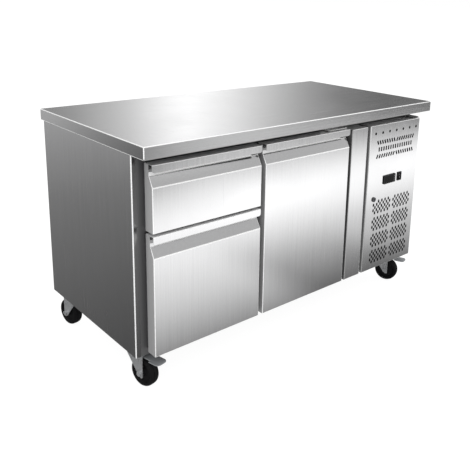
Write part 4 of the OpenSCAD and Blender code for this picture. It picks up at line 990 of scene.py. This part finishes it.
def floor_tone(x, y, _):
    """Soft light on the floor: a glow in front of the counter, dimmer beside and behind it."""
    front = FRONT_Y - y
    ahead = table(FRONT_GLOW, front)
    ahead *= 1 + table(DRAWER_GLOW, front) * (1 - smooth(x, 0.08, 0.38))
    ahead *= 1 + 0.14 * (1 - smooth(x, 0.9, 1.5)) * smooth(front, 0.95, 1.3)
    ahead *= 1 + 0.4 * smooth(x, 0.7, 1.05) * (1 - smooth(front, 0.35, 0.8))
    ahead *= 1 - table(FRONT_DIP, front) * math.exp(-((x - 0.55 * front + 1.0) / 0.75) ** 2)
    ahead *= 1 - smooth(front, 1.3, 2.5) * (1 - table(FRONT_END, x))
    side = mix(table(SIDE_GLOW, y), 0.5, smooth(-BODY_X - x, 1.6, 3.0))
    rest = mix(side, table(BACK_GLOW, max(x - BODY_X, y - 0.35)), smooth(x, -0.6, -0.45))
    return mix(rest, ahead, smooth(front, -0.25, 0.0))


def sky_tone(x, y, z):
    """Bands of light all round up to 27 degrees, and an even light overhead."""
    azimuth = math.degrees(math.atan2(x, y))
    height = math.degrees(math.atan2(z, math.hypot(x, y)))
    off = (azimuth - BAND_AT + 45) % 90 - 45
    tone = mix(table(BAND_GLOW, off), 0.50, smooth(height, 16, 27))
    return mix(tone, 1.05, smooth(height, 34, 44))


def reflections():
    """The two cards: one on the floor, finer near the counter, and a dome."""
    steps = sorted({round(s * v, 3) for s in (-1, 1) for v in (
        [i * 0.04 for i in range(0, 60)] + [2.4 + i * 0.25 for i in range(1, 20)] + [9, 12, 18])})
    n = len(steps)
    verts = [(x, y, 0.0002) for y in steps for x in steps]
    faces = [(j * n + i, j * n + i + 1, (j + 1) * n + i + 1, (j + 1) * n + i)
             for j in range(n - 1) for i in range(n - 1)]
    glow_card("floor_reflection", verts, faces, floor_tone)
    r, rings, turns = 17.0, 24, 180
    verts, faces = [], []
    for k in range(rings + 1):
        e = math.radians(-2 + 92 * k / rings)
        for i in range(turns):
            a = 2 * math.pi * i / turns
            verts.append((r * math.cos(e) * math.sin(a), r * math.cos(e) * math.cos(a),
                          r * math.sin(e)))
    for k in range(rings):
        for i in range(turns):
            j = (i + 1) % turns
            faces.append((k * turns + i, k * turns + j, (k + 1) * turns + j, (k + 1) * turns + i))
    glow_card("sky_reflection", verts, faces, sky_tone)


def camera(at, yaw, pitch, roll, focal, centre):
    """Camera with its focal length in pixels, and the pixel that lies on its axis."""
    fwd = Vector((math.sin(yaw) * math.cos(pitch), math.cos(yaw) * math.cos(pitch),
                  -math.sin(pitch)))
    right = Vector((math.cos(yaw), -math.sin(yaw), 0))
    up = right.cross(fwd)
    r2 = right * math.cos(roll) + up * math.sin(roll)
    u2 = up * math.cos(roll) - right * math.sin(roll)
    data = bpy.data.cameras.new("camera")
    o = bpy.data.objects.new("camera", data)
    scene.collection.objects.link(o)
    m = Matrix((r2, u2, -fwd)).transposed().to_4x4()
    m.translation = Vector(at)
    o.matrix_world = m
    data.sensor_width = SENSOR
    data.lens = focal / FRAME_PX * SENSOR
    data.shift_x = (FRAME_PX / 2 - centre[0]) / FRAME_PX
    data.shift_y = (centre[1] - FRAME_PX / 2) / FRAME_PX
    data.clip_start, data.clip_end = 0.05, 200
    scene.camera = o


studio()
reflections()
camera(at=(-1.5508, -1.8284, 1.2539), yaw=0.73596, pitch=0.24588, roll=0.02738, focal=632.5,
       centre=(270, 150))
scene.view_settings.view_transform = "Standard"
scene.view_settings.look = "None"
